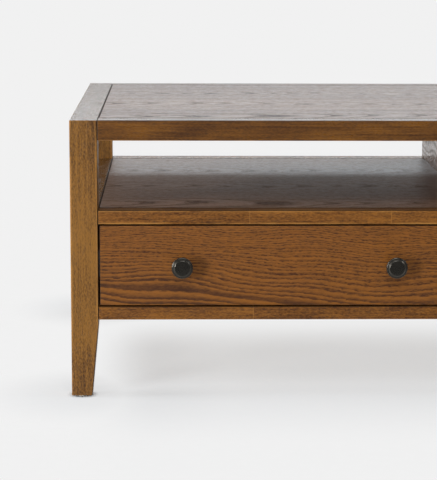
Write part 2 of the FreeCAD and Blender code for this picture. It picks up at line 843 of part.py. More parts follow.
def build_drawer(side, side_holes):
    """A dovetailed drawer box with its front, knobs and screws."""
    name = f"{SIDE_NAMES[side]}_drawer"
    middle = at_side(side, BAY_MIDDLE)
    bottom_level = f"{Z_BOX} + box_bottom_lift + box_bottom_thickness / 2"
    box_middle = behind_front(f"drawer_front_thickness + {BOX_DEPTH} / 2")
    bottom_size = (f"{BOX_WIDTH} - box_board", f"{BOX_DEPTH} - box_board", "box_bottom_thickness")
    bottom_slot = slot(
        (middle, box_middle, bottom_level),
        (bottom_size[0], bottom_size[1], "box_bottom_thickness + 2 * groove_gap"),
    )
    bottom = board(
        f"{name}_bottom",
        (middle, box_middle, bottom_level),
        (f"{bottom_size[0]} - 2 * panel_play", f"{bottom_size[1]} - 2 * panel_play", bottom_size[2]),
    )
    keep(f"{name}_bottom", bottom)

    side_blanks = []
    for hand, hand_name in HAND_NAMES.items():
        label = f"{name}_{hand_name}_side"
        blank = padded(label, "YZ_Plane", tail_outline(), "box_board")
        place(
            blank,
            f"{in_bay(side, hand, f'({BOX_WIDTH} - box_board) / 2')} - box_board / 2",
            behind_front("drawer_front_thickness"),
            Z_BOX,
        )
        side_blanks.append(blank)
        keep(label, blank, [bottom_slot] + side_holes[hand])

    knob_screws, knob_holes = [], []
    front_screws, front_holes = [], []
    seat_depth = "drawer_front_thickness + box_board"
    for hand in (OUTER, INNER):
        seat = (in_bay(side, hand, "knob_spacing / 2"), behind_front(seat_depth), Z_OPENING)
        made, hole = screw("y", -1, seat, f"{seat_depth} + knob_screw_reach", "bolt")
        knob_screws.append(made)
        knob_holes.append(hole)
        for height in ("front_screw_edge", f"{BOX_HEIGHT} - front_screw_edge"):
            seat = (
                in_bay(side, hand, f"{BOX_WIDTH} / 2 - front_screw_inset"),
                behind_front(seat_depth),
                f"{Z_BOX} + {height}",
            )
            made, hole = screw("y", -1, seat, "box_board + front_screw_reach", "bolt")
            front_screws.append(made)
            front_holes.append(hole)
    keep_group(f"{name}_knob_screws", knob_screws)
    keep_group(f"{name}_front_screws", front_screws)

    box_size = (BOX_WIDTH, "box_board", BOX_HEIGHT)
    box_front = board(
        f"{name}_box_front",
        (middle, behind_front("drawer_front_thickness + box_board / 2"), Z_RUNNER),
        box_size,
    )
    label = f"{name}_box_front"
    keep(label, box_front, side_blanks + [bottom_slot] + knob_holes + front_holes)
    back = board(
        f"{name}_back",
        (middle, behind_front(f"drawer_front_thickness + {BOX_DEPTH} - box_board / 2"), Z_RUNNER),
        box_size,
    )
    keep(f"{name}_back", back, side_blanks + [bottom_slot])
    front = board(
        f"{name}_front",
        (middle, behind_front("drawer_front_thickness / 2"), Z_OPENING),
        (f"{BAY_WIDTH} - 2 * front_gap", "drawer_front_thickness", "drawer_opening - 2 * front_gap"),
        between(),
    )
    keep(f"{name}_front", front, knob_holes + front_holes)

    knobs = []
    for hand, hole in zip((OUTER, INNER), knob_holes):
        knob = build_knob(f"{name}_knob")
        place(knob, in_bay(side, hand, "knob_spacing / 2"), behind_front("0"), Z_OPENING)
        knobs.append(less(f"{name}_knob", knob, [hole]))
    keep_group(f"{name}_knobs", knobs)


def build_knob(name):
    """A turned knob: base, neck, flared head and a raised disc on its face."""
    rim_back = "(knob_projection - knob_disc_height - knob_rim_height)"
    rim_front = "(knob_projection - knob_disc_height)"
    knob = turned(
        name,
        "XY_Plane",
        [
            ("0", "0"),
            ("knob_base_diameter / 2", "0"),
            ("knob_base_diameter / 2", "knob_base_height"),
            ("knob_neck_diameter / 2", "knob_base_height * 2"),
            ("knob_neck_diameter / 2", "knob_base_height + knob_neck_length"),
            ("knob_diameter / 2", rim_back),
            ("knob_diameter / 2", rim_front),
            ("knob_disc_diameter / 2", rim_front),
            ("knob_disc_diameter / 2", "knob_projection"),
            ("0", "knob_projection"),
        ],
    )
    knob.Placement = Placement(Vector(), Rotation(Vector(0, 0, 1), 180))
    rim = value("knob_diameter / 2")
    disc = value("knob_disc_diameter / 2")
    base = value("knob_base_diameter / 2")
    face = value("knob_projection")

    def rounded(edge):
        ring = getattr(edge.Curve, "Radius", 0)
        height = edge.CenterOfMass.y
        on_disc = abs(ring - disc) < NEAR and abs(height - face) < NEAR
        on_base = abs(ring - base) < NEAR and height > NEAR
        return abs(ring - rim) < NEAR or on_disc or on_base

    eased(knob, rounded, "knob_round")
    return knob


def channel(name, web, opening, edge, start, height):
    """A steel channel along Y: its web, the way it opens, its flanges' free edge and its height."""
    back = f"{web} + {opening} * runner_steel"
    points = [
        (web, start),
        (edge, start),
        (edge, f"{start} + runner_steel"),
        (back, f"{start} + runner_steel"),
        (back, f"{start} + {height} - runner_steel"),
        (edge, f"{start} + {height} - runner_steel"),
        (edge, f"{start} + {height}"),
        (web, f"{start} + {height}"),
    ]
    member = padded(name, "XZ_Plane", points, RUNNER_LENGTH, reverse=True)
    place(
        member,
        at_side(LEFT, X_IN),
        behind_front("drawer_front_thickness + runner_setback"),
        f"{Z_RUNNER} - runner_height / 2",
    )
    return member


def cage(name, across, level):
    """A strip that holds a row of balls between two flanges."""
    x = f"{at_side(LEFT, X_IN)} + {across}"
    z = f"{Z_RUNNER} + {level}"
    start = f"drawer_front_thickness + runner_setback + {RUNNER_LENGTH} * {CAGE_TRAVEL} + cage_end_gap"
    middle = (x, behind_front(f"{start} + cage_length / 2"), z)
    solids = [slot(middle, ("cage_width", "cage_length", "cage_thickness"))]
    for number in range(CAGE_BALLS):
        ball = doc.addObject("Part::Sphere", f"{name}_ball")
        bind(ball, Radius="ball_space / 2 - ball_gap")
        place(ball, x, behind_front(f"{start} + cage_length * {(number + 0.5) / CAGE_BALLS}"), z)
        solids.append(ball)
    return joined(solids)


def in_all_places(source):
    """A runner part of the left drawer's outer side, and its mirror images at the other three places."""
    inner = mirrored(source, (1, 0, 0), x=at_side(LEFT, BAY_MIDDLE))
    return {
        (LEFT, OUTER): source,
        (LEFT, INNER): inner,
        (RIGHT, OUTER): mirrored(source, (1, 0, 0)),
        (RIGHT, INNER): mirrored(inner, (1, 0, 0)),
    }


def build_runners():
    """Runner members, ball cages and screws; gives the holes for the case and the drawer sides."""
    step = "(runner_steel + ball_space)"
    middle_web = f"(runner_steel + {WEB_GAP})"
    outer = in_all_places(
        channel("runner_outer", "0", 1, f"runner_steel + {FLANGE}", "0", "runner_height")
    )
    middle = in_all_places(
        channel(
            "runner_middle",
            middle_web,
            1,
            f"{middle_web} + {FLANGE}",
            step,
            f"runner_height - 2 * {step}",
        )
    )
    inner = in_all_places(
        channel(
            "runner_inner",
            "runner_thickness",
            -1,
            f"runner_thickness - {FLANGE}",
            f"2 * {step}",
            f"runner_height - 4 * {step}",
        )
    )
    cages = {}
    for layer, across, level in (
        ("outer", f"{middle_web} + {FLANGE} / 2", "runner_height / 2 - runner_steel - ball_space / 2"),
        (
            "inner",
            f"runner_thickness - {FLANGE} * {CAGE_SEAT}",
            f"runner_height / 2 - {step} - runner_steel - ball_space / 2",
        ),
    ):
        rows = [in_all_places(cage(f"{layer}_cage", across, f"{way} * ({level})")) for way in (-1, 1)]
        cages[layer] = rows

    case_holes = {}
    side_holes = {}
    outer_members = []
    case_screws = []
    for side, name in SIDE_NAMES.items():
        inner_members = []
        side_screws = []
        for hand in (OUTER, INNER):
            case_holes[side, hand] = []
            side_holes[side, hand] = []
            for number in range(RUNNER_SCREWS):
                along = f"({RUNNER_LENGTH} - 2 * runner_screw_inset) * {number / (RUNNER_SCREWS - 1)}"
                y = behind_front(f"drawer_front_thickness + runner_setback + runner_screw_inset + {along}")
                seat = (in_bay(side, hand, f"{BAY_WIDTH} / 2 - runner_steel"), y, Z_RUNNER)
                made, hole = screw("x", side * hand, seat, "runner_steel + case_screw_reach", "screw")
                case_screws.append(made)
                case_holes[side, hand].append(hole)
                seat = (in_bay(side, hand, f"{BOX_WIDTH} / 2 + runner_steel"), y, Z_RUNNER)
                made, hole = screw("x", -side * hand, seat, "runner_steel + side_screw_reach", "screw")
                side_screws.append(made)
                side_holes[side, hand].append(hole)
            outer_members.append(less("runner_outer", outer[side, hand], case_holes[side, hand]))
            inner_members.append(less("runner_inner", inner[side, hand], side_holes[side, hand]))
        keep_group(f"{name}_runner_inner", inner_members)
        keep_group(f"{name}_runner_middle", [middle[side, hand] for hand in (OUTER, INNER)])
        for layer, rows in cages.items():
            strips = [row[side, hand] for row in rows for hand in (OUTER, INNER)]
            keep_group(f"{name}_{layer}_ball_cages", strips)
        keep_group(f"{name}_runner_drawer_screws", side_screws)
    keep_group("runner_outer_members", outer_members)
    keep_group("runner_case_screws", case_screws)
    return case_holes, side_holes


def build_glides():
    """Nail-on glides under the feet."""
    glides = []
    for side in (LEFT, RIGHT):
        for end in (FRONT, BACK):
            glide = turned(
                "glide",
                "XZ_Plane",
                [
                    ("0", "0"),
                    ("glide_diameter / 2", "0"),
                    ("glide_diameter / 2", "glide_height"),
                    ("glide_nail_diameter / 2", "glide_height"),
                    ("glide_nail_diameter / 2", "glide_height + glide_nail_length"),
                    ("0", "glide_height + glide_nail_length"),
                ],
            )
            place(
                glide,
                at_side(side, f"{X_OUT} - foot_width / 2"),
                at_end(end, f"{Y_FACE} - foot_width / 2"),
                "0",
            )
            glides.append(glide)
    keep_group("foot_glides", glides)


def build():
    """Builds every sub-part of the table."""
    shared = build_end_frames()
    partition, partition_bores = build_case(shared)
    case_holes, side_holes = build_runners()
    for side, name in SIDE_NAMES.items():
        batten = board(
            f"runner_batten_{name}",
            (at_side(side, f"{X_IN} + {BATTEN_THICKNESS} / 2"), "knob_projection / 2", Z_RUNNER),
            (BATTEN_THICKNESS, f"2 * {Y_POST}", "batten_height"),
        )
        label = f"runner_batten_{name}"
        keep(label, batten, shared["batten", side] + case_holes[side, OUTER])
        build_drawer(side, {hand: side_holes[side, hand] for hand in (OUTER, INNER)})
    partition_cutters = partition_bores + case_holes[LEFT, INNER] + case_holes[RIGHT, INNER]
    keep("centre_partition", partition, partition_cutters)
    build_glides()
    keep_group("frame_dowels", dowels)


def write():
    """Checks every object and writes each sub-part to its own file."""
    doc.recompute()
    for item in doc.Objects:
        if "Invalid" in item.State or "Error" in item.State:
            raise RuntimeError(f"{item.Label} failed: {item.State}")
    for label, item in pieces.items():
        if item.Shape.isNull() or not item.Shape.isValid():
            raise RuntimeError(f"{label} has no valid shape")
    os.makedirs("parts", exist_ok=True)
    for label, item in pieces.items():
        item.Shape.exportStep(f"parts/{label}.step")
    print(f"{len(pieces)} sub-parts written")


build()
write()
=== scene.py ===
"""Looks of a low coffee table with an open divided shelf and two inset drawers.

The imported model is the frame, in metres, with +Z up and the drawer fronts towards -Y. Boards, posts, rails
and runners keep their shapes and take procedural finishes. Knobs and screws are made again as smoother
pieces.
"""
import json
import logging
import math
from dataclasses import dataclass, field, replace
from enum import Enum
from typing import Any, Iterable, Mapping

import bmesh
import bpy
from mathutils import Color, Euler, Matrix, Vector


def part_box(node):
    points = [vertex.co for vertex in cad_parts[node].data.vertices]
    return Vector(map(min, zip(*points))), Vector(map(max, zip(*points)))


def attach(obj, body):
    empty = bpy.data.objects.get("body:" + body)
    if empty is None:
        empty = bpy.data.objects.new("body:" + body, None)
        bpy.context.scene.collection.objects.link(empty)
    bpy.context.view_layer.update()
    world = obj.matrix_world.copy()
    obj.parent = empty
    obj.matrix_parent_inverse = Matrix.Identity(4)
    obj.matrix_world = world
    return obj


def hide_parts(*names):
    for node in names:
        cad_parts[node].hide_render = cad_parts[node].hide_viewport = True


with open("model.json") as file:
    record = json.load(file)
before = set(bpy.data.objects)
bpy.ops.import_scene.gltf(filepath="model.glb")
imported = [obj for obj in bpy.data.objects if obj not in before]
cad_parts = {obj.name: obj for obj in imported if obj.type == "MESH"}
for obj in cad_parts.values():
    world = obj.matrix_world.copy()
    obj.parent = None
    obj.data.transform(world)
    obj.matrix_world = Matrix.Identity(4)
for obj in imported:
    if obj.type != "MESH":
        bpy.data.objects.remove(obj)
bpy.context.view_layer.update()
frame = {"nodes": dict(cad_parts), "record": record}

Colour = tuple[float, float, float, float]
Triple = tuple[float, float, float]
Pair = tuple[float, float]
log = logging.getLogger("coffee_table")

# Highest level of a written colour.
FULL_LEVEL = 255
# A distance past the ends of every piece, in metres.
FAR = 9.0
# Points of a mesh that lie nearer than this are one point, in metres.
SAME_POINT = 1e-6
# Points whose radius and height agree this closely lie on one ring, in metres.
SAME_RING = 1e-5
# Angle between two faces from which the edge between them stays sharp.
SHARP_ANGLE = math.radians(38)


def stain(red: int, green: int, blue: int) -> Colour:
    """Turns a colour as the eye reads it into linear light.

    Args:
        red: red part, 0 to 255.
        green: green part, 0 to 255.
        blue: blue part, 0 to 255.

    Returns:
        The linear colour with full alpha.
    """
    linear = Color([part / FULL_LEVEL for part in (red, green, blue)]).from_srgb_to_scene_linear()
    return (linear.r, linear.g, linear.b, 1.0)


class SocketKind(Enum):
    """Kinds of value that pass into and out of a shared effect."""

    VALUE = "NodeSocketFloat"
    VECTOR = "NodeSocketVector"

    @classmethod
    def of(cls, socket: bpy.types.NodeSocket) -> "SocketKind":
        """Tells which kind a socket carries."""
        return cls.VECTOR if socket.type == "VECTOR" else cls.VALUE


class Grain(Enum):
    """How the grain lies on a piece: the axis it runs along, then the axis its figure spreads across."""

    LENGTH_ON_TOP = ("X", "Y")
    LENGTH_ON_FACE = ("X", "Z")
    DEPTH_ON_TOP = ("Y", "X")
    DEPTH_ON_SIDE = ("Y", "Z")
    UPRIGHT = ("Z", "X")

    @property
    def turn(self) -> Euler:
        """Turn that lays the grain along the pattern's own X axis."""
        axes = {"X": Vector((1, 0, 0)), "Y": Vector((0, 1, 0)), "Z": Vector((0, 0, 1))}
        along, across = (axes[letter] for letter in self.value)
        return Matrix((along, across, along.cross(across))).to_euler()


@dataclass(frozen=True)
class Signal:
    """A value on a socket of a shader tree, on which arithmetic adds Math nodes.

    Attributes:
        tree: shader tree that holds the socket.
        socket: output that carries the value.
    """

    tree: bpy.types.NodeTree
    socket: bpy.types.NodeSocket

    def __add__(self, other: "Feed") -> "Signal":
        """Adds another value."""
        return Shading(self.tree).math("ADD", self, other)

    def __sub__(self, other: "Feed") -> "Signal":
        """Takes another value away."""
        return Shading(self.tree).math("SUBTRACT", self, other)

    def __rsub__(self, other: float) -> "Signal":
        """Takes this value away from a number."""
        return Shading(self.tree).math("SUBTRACT", other, self)

    def __mul__(self, other: "Feed") -> "Signal":
        """Multiplies by another value."""
        return Shading(self.tree).math("MULTIPLY", self, other)

    def __truediv__(self, other: "Feed") -> "Signal":
        """Divides by another value."""
        return Shading(self.tree).math("DIVIDE", self, other)

    def __pow__(self, other: "Feed") -> "Signal":
        """Raises to a power."""
        return Shading(self.tree).math("POWER", self, other)


Feed = Signal | float | tuple | Vector | Euler


class Shading:
    """Adds nodes to one shader tree and wires them as they are added."""

    def __init__(self, tree: bpy.types.NodeTree) -> None:
        """Keeps the tree that the nodes go into."""
        self.tree = tree

    def wire(self, socket: bpy.types.NodeSocket, feed: Feed) -> None:
        """Feeds a socket from another node, or sets its own value.

        Args:
            socket: input to feed.
            feed: signal to link, or a constant.
        """
        if isinstance(feed, Signal):
            self.tree.links.new(feed.socket, socket)
        else:
            socket.default_value = feed

    def node(self, kind: str, feeds: Mapping[str | int, Feed] | None = None,
             **settings: Any) -> bpy.types.Node:
        """Adds a node.

        Args:
            kind: Blender's name for the node's type.
            feeds: what goes into its inputs, by name or place.
            settings: the node's own properties.

        Returns:
            The new node.
        """
        node = self.tree.nodes.new(kind)
        for name, setting in settings.items():
            setattr(node, name, setting)
        for name, feed in (feeds or {}).items():
            self.wire(node.inputs[name], feed)
        return node

    def output(self, node: bpy.types.Node, name: str | int = 0) -> Signal:
        """Gives the signal on one of a node's outputs."""
        return Signal(self.tree, node.outputs[name])

    def spot(self) -> Signal:
        """Gives the place on the piece in its own coordinates."""
        return self.output(self.node("ShaderNodeTexCoord"), "Object")

    def math(self, operation: str, *terms: Feed) -> Signal:
        """Works out a number from others.

        Args:
            operation: Math node's operation.
            terms: its inputs, in order.

        Returns:
            The result.
        """
        return self.output(self.node("ShaderNodeMath", dict(enumerate(terms)), operation=operation))

    def highest(self, first: Signal, *others: Signal) -> Signal:
        """Gives the highest of several values."""
        for other in others:
            first = self.math("MAXIMUM", first, other)
        return first

    def clamp(self, value: Signal) -> Signal:
        """Holds a value between zero and one."""
        return self.math("MINIMUM", self.math("MAXIMUM", value, 0.0), 1.0)

    def inside(self, value: Signal, low: Feed, high: Feed) -> Signal:
        """Tells how far a value lies inside a range."""
        return self.math("MINIMUM", value - low, high - value)

    def remap(self, value: Feed, start: Feed, stop: Feed, low: Feed = 0.0, high: Feed = 1.0) -> Signal:
        """Eases a value from one range into another and holds it there.

        Args:
            value: signal to change.
            start: value that becomes low.
            stop: value that becomes high.
            low: result at start.
            high: result at stop.

        Returns:
            The eased signal.
        """
        feeds = dict(enumerate((value, start, stop, low, high)))
        return self.output(self.node("ShaderNodeMapRange", feeds, interpolation_type="SMOOTHSTEP"))

    def fall(self, value: Feed, start: Feed, stop: Feed) -> Signal:
        """Eases from one down to zero while a value goes from start to stop."""
        return self.remap(value, start, stop, 1.0, 0.0)

    def parts(self, place: Signal) -> tuple[Signal, Signal, Signal]:
        """Splits a place into its three coordinates."""
        split = self.node("ShaderNodeSeparateXYZ", {0: place})
        return self.output(split, 0), self.output(split, 1), self.output(split, 2)

    def place(self, along: Feed, across: Feed, through: Feed) -> Signal:
        """Joins three coordinates into a place."""
        return self.output(self.node("ShaderNodeCombineXYZ", {0: along, 1: across, 2: through}))

    def noise(self, place: Signal, pitch: Triple, detail: float = 2.0) -> Signal:
        """Gives soft noise about zero.

        Args:
            place: where the noise is read.
            pitch: size of a feature in metres, along, across and through the grain.
            detail: octaves of finer noise.

        Returns:
            Noise from about -0.5 to 0.5.
        """
        scale = tuple(1 / size for size in pitch)
        stretched = self.output(self.node("ShaderNodeVectorMath", {0: place, 1: scale}, operation="MULTIPLY"))
        noise = self.node("ShaderNodeTexNoise", {"Vector": stretched, "Scale": 1.0, "Detail": detail})
        return self.math("MULTIPLY_ADD", self.output(noise), 2.0, -1.0)

    def mix(self, share: Feed, first: Feed, second: Feed) -> Signal:
        """Mixes two colours.

        Args:
            share: how much of the second colour shows.
            first: colour at share 0.
            second: colour at share 1.

        Returns:
            The mixed colour.
        """
        return self.output(self.node("ShaderNodeMix", {0: share, 6: first, 7: second}, data_type="RGBA"), 2)

    def bump(self, strength: float, distance: float, height: Signal) -> Signal:
        """Tilts a surface as a height over it would.

        Args:
            strength: how far the tilt shows.
            distance: depth of one unit of the height, in metres.
            height: the height.

        Returns:
            The tilted normal.
        """
        feeds = {"Strength": strength, "Distance": distance, "Height": height}
        return self.output(self.node("ShaderNodeBump", feeds))

    def effect(self, group: bpy.types.NodeTree, feeds: Mapping[str, Feed]) -> dict[str, Signal]:
        """Places a shared effect in this tree.

        Args:
            group: the effect's node group.
            feeds: what goes into its named inputs.

        Returns:
            Its outputs by name.
        """
        node = self.node("ShaderNodeGroup", feeds, node_tree=group)
        return {socket.name: Signal(self.tree, socket) for socket in node.outputs}


class SharedEffect:
    """A shader node group while it is built: named inputs, the nodes between, named outputs."""

    def __init__(self, name: str, places: Iterable[str], values: Iterable[str] = ()) -> None:
        """Opens a group.

        Args:
            name: the group's name.
            places: names of its inputs that take a place or a direction.
            values: names of its inputs that take a number.
        """
        self.tree = bpy.data.node_groups.new(name, "ShaderNodeTree")
        self.shading = Shading(self.tree)
        kinds = dict.fromkeys(places, SocketKind.VECTOR) | dict.fromkeys(values, SocketKind.VALUE)
        for label, kind in kinds.items():
            self.tree.interface.new_socket(name=label, in_out="INPUT", socket_type=kind.value)
        entry = self.tree.nodes.new("NodeGroupInput")
        self.inputs = {label: Signal(self.tree, entry.outputs[label]) for label in kinds}

    def close(self, **outputs: Signal) -> bpy.types.NodeTree:
        """Closes the group.

        Args:
            outputs: its outputs by name.

        Returns:
            The finished node group.
        """
        for label, signal in outputs.items():
            kind = SocketKind.of(signal.socket)
            self.tree.interface.new_socket(name=label, in_out="OUTPUT", socket_type=kind.value)
        leave = self.tree.nodes.new("NodeGroupOutput")
        for label, signal in outputs.items():
            self.shading.wire(leave.inputs[label], signal)
        return self.tree


class Effects:
    """Shared effects of the finishes, each built once. Pitches and widths are in metres."""

    # Lay-up: uneven lengths of the staves, steps between the tints, and the full core of a glue line.
    STAVE_BEAT = 2.3
    STAVE_SWING = 0.2
    LEAF_TINT = 2.4
    STAVE_TINT = 2.1
    DRAW_TINT = 1.75
    TINT_SWING = 0.5
    GLUE_CORE = 0.3

    # Growth rings: how they crowd outwards, wander and vary, where each begins and fades, how the tight ones
    # break into dashes, and the zone along the heart line where they come to a tip.
    RING_POWER = 2.1
    SWAY_PITCH = (0.26, 0.12, 0.12)
    TEETH_PITCH = (0.012, 0.003, 0.003)
    WIDTH_PITCH = (2.6, 1.0, 1.0)
    WIDTH_SWING = 1.1
    RING_ONSET = (0.0, 0.1)
    RING_FADE = (0.16, 0.92)
    DASH_PITCH = (0.0058, 0.0021, 0.0021)
    DASH_EDGE = (-0.25, 0.2)
    TIGHT_RINGS = (3.0, 13.0)
    HEART_ZONE = (0.004, 0.013)
    TIP_EDGE = (0.6, 0.92)

    # Pores: level of the noise at which they open, how far their cover lowers it, and their soft edge.
    PORE_LEVEL = 0.5
    PORE_COVER = 0.8
    PORE_EDGE = 0.16
    COARSE_PITCH = (0.011, 0.0013, 0.0013)
    FINE_PITCH = (0.0045, 0.0006, 0.0006)

    # Streaks, blotches and mottle.
    STREAK_PITCH = (0.16, 0.0045, 0.0045)
    BLOTCH_PITCH = (0.11, 0.035, 0.035)
    MOTTLE_PITCH = (0.0065, 0.0024, 0.0024)

    # Edges: how square to an axis a face is, how far an edge turns to its neighbour, how far a face turns
    # from the front, the border of a board that is lightened as wear and painted highlight, and the patches
    # that break that lightening up.
    SQUARE_FACE = (0.9, 0.99)
    TOWARDS_JOINT = (0.12, 0.3)
    FRONT_FACE = (0.4, 0.75)
    BORDER = (0.001, 0.004)
    PATCH_PITCH = (0.045, 0.012, 0.012)
    PATCH_EDGE = (-0.35, 0.25)

    def __init__(self) -> None:
        """Builds every effect."""
        self.lay_up = self._lay_up()
        self.growth_rings = self._growth_rings()
        self.pores = self._pores()
        self.streaks = self._streaks()
        self.edges = self._edges()

    def _lay_up(self) -> bpy.types.NodeTree:
        """Splits a surface into veneer leaves across the grain and staves along it.

        Returns:
            Group that gives the place on each leaf or stave, its own tint and the joint lines.
        """
        effect = SharedEffect("Lay-up", ["Place"], ["Leaf", "Stave", "Start", "Slip", "Joint", "Draw"])
        shading, given = effect.shading, effect.inputs
        along, across, through = shading.parts(given["Place"])
        leaf = shading.math("FLOOR", across / given["Leaf"] + 0.5)
        even = (along - given["Start"]) / given["Stave"]
        uneven = even + shading.math("SINE", even * self.STAVE_BEAT + given["Draw"]) * self.STAVE_SWING
        stave = shading.math("FLOOR", uneven)
        board = shading.place(along + leaf * given["Slip"], across - leaf * given["Leaf"],
                              through + stave * given["Slip"])
        sorting = leaf * self.LEAF_TINT + stave * self.STAVE_TINT + given["Draw"] * self.DRAW_TINT
        tint = shading.math("SINE", sorting) * self.TINT_SWING
        nearest = shading.math("PINGPONG", uneven, 0.5) * given["Stave"]
        joint = shading.fall(nearest, given["Joint"] * self.GLUE_CORE, given["Joint"])
        return effect.close(Place=board, Tint=tint, Joint=joint)

    def _growth_rings(self) -> bpy.types.NodeTree:
        """Draws growth rings where a flat cut runs past the heart of a log.

        Returns:
            Group that gives the dark early wood of each ring, sharp inside and fading outwards, and the ring
            tips along the heart line.
        """
        effect = SharedEffect("Growth rings", ["Place"],
                              ["Depth", "Taper", "Crowding", "Sway", "Ragged", "Dashes"])
        shading, given = effect.shading, effect.inputs
        place = given["Place"]
        along, across, _ = shading.parts(place)
        height = across + shading.noise(place, self.SWAY_PITCH, 1.0) * given["Sway"]
        depth = given["Depth"] + along * given["Taper"]
        teeth = shading.noise(place, self.TEETH_PITCH) * given["Ragged"]
        radius = shading.math("SQRT", height * height + depth * depth) + teeth
        count = (radius ** self.RING_POWER) * given["Crowding"]
        uneven = shading.noise(shading.place(count, 0.0, 0.0), self.WIDTH_PITCH, 1.0)
        cycle = shading.math("FRACT", count + uneven * self.WIDTH_SWING)
        ring = shading.remap(cycle, *self.RING_ONSET) * shading.fall(cycle, *self.RING_FADE)
        dash = shading.remap(shading.noise(place, self.DASH_PITCH), *self.DASH_EDGE)
        broken = (dash - 1.0) * given["Dashes"] * shading.remap(count, *self.TIGHT_RINGS) + 1.0
        heart = shading.fall(shading.math("ABSOLUTE", height), *self.HEART_ZONE)
        return effect.close(Band=ring * broken, Tips=heart * shading.remap(ring, *self.TIP_EDGE))

    def _pores(self) -> bpy.types.NodeTree:
        """Draws the open vessels of the wood as short dashes along the grain.

        Returns:
            Group that gives a mask of coarse dashes and one of fine dashes.
        """
        effect = SharedEffect("Pores", ["Place"], ["Cover"])
        shading, given = effect.shading, effect.inputs
        edge = self.PORE_LEVEL - given["Cover"] * self.PORE_COVER
        coarse, fine = (shading.remap(shading.noise(given["Place"], pitch, 1.0), edge, edge + self.PORE_EDGE)
                        for pitch in (self.COARSE_PITCH, self.FINE_PITCH))
        return effect.close(Coarse=coarse, Fine=fine)

    def _streaks(self) -> bpy.types.NodeTree:
        """Draws the lengthwise streaks of the fibres and the blotches that a wiped stain leaves.

        Returns:
            Group that gives streaks, blotches and a fine mottle about zero.
        """
        effect = SharedEffect("Streaks", ["Place"])
        shading, place = effect.shading, effect.inputs["Place"]
        return effect.close(Streak=shading.noise(place, self.STREAK_PITCH, 3.0),
                            Blotch=shading.noise(place, self.BLOTCH_PITCH, 3.0),
                            Mottle=shading.noise(place, self.MOTTLE_PITCH))

    def _edges(self) -> bpy.types.NodeTree:
        """Finds the eased edges of a board, lighter along the free ones as wear and painted highlight,
        darker along the jointed ones and on the flanks as painted shade and glazing.

        Returns:
            Group that gives a broken mask along the free edges and a full one along the jointed ones.
        """
        effect = SharedEffect("Edges", ["Place", "Facing"],
                              ["Ends", "Across", "Through", "Low", "High", "Flanks"])
        shading, given = effect.shading, effect.inputs
        facing = shading.parts(given["Facing"])
        sides = [shading.math("ABSOLUTE", side) for side in facing]
        edge = shading.fall(shading.highest(*sides), *self.SQUARE_FACE)
        nearest = shading.highest(sides[0] * given["Ends"], facing[1] * given["Across"],
                                  facing[2] * given["Through"])
        # Faces square to the front get painted shade.
        flank = shading.fall(sides[2], *self.FRONT_FACE) * given["Flanks"]
        # Eased edges at a joint get painted shade, together with glazing.
        joint = shading.highest(edge * shading.remap(nearest, *self.TOWARDS_JOINT), flank)
        _, across, _ = shading.parts(given["Place"])
        border = shading.fall(shading.inside(across, given["Low"], given["High"]), *self.BORDER)
        patches = shading.remap(shading.noise(given["Place"], self.PATCH_PITCH, 3.0), *self.PATCH_EDGE)
        # Free edges are lightened as wear and painted highlight.
        rub_and_highlight = shading.highest(edge, border) * patches * (1.0 - joint)
        return effect.close(Rub=rub_and_highlight, Joint=joint)


@dataclass(frozen=True)
class GrainLay:
    """How one piece was cut: the lie of its grain and the part of the log that it shows.

    Attributes:
        grain: axes that the grain follows.
        shift: move of the pattern along, across and through the grain, in metres.
        depth: distance of the cut from the heart of the log at the pattern's middle, in metres.
        taper: change of that distance along the grain.
        leaf: width of a veneer leaf across the grain, in metres.
        stave: mean length of a stave along the grain, in metres.
        stave_start: where the staves are counted from along the grain, in metres.
        draw: which tints its leaves and staves were sorted into.
        tone: how much darker than the finish the piece took its stain.
        joints: sides whose eased edges meet a neighbour: both ends, then across and through the grain.
        free_edges: places across the grain of the two long edges that are lightened as wear and painted
            highlight, in metres.
        flanks: how far painted shade darkens the faces square to the front.
        gloss: how much smoother than the finish the piece is polished.
        stops: where the piece begins and ends along the grain, in metres; the piece is darker towards them.
        end_seams: where its neighbours meet it along the grain, in metres; the seam gets painted shade and
            glazing.
        side_seams: where its neighbours meet it across the grain, in metres; the seam gets painted shade and
            glazing.
    """

    grain: Grain
    shift: Triple = (0.0, 0.0, 0.0)
    depth: float = 0.05
    taper: float = 0.03
    leaf: float = FAR
    stave: float = FAR
    stave_start: float = 4.0
    draw: float = 0.0
    tone: float = 0.0
    joints: Triple = (1.0, 0.0, 0.0)
    free_edges: Pair = (-FAR, FAR)
    flanks: float = 0.0
    gloss: float = 0.0
    stops: Pair = (-FAR, FAR)
    end_seams: Pair = (-FAR, FAR)
    side_seams: Pair = (-FAR, FAR)

    def along(self, places: Pair) -> Pair:
        """Moves places along the grain with the pattern."""
        return (places[0] + self.shift[0], places[1] + self.shift[0])

    def across(self, places: Pair) -> Pair:
        """Moves places across the grain with the pattern."""
        return (places[0] + self.shift[1], places[1] + self.shift[1])


def new_material(name: str) -> tuple[bpy.types.Material, Shading, bpy.types.Node]:
    """Opens a material.

    Args:
        name: the material's name.

    Returns:
        The material, its tree to work in, and its surface shader.
    """
    material = bpy.data.materials.new(name)
    material.use_nodes = True
    return material, Shading(material.node_tree), material.node_tree.nodes["Principled BSDF"]


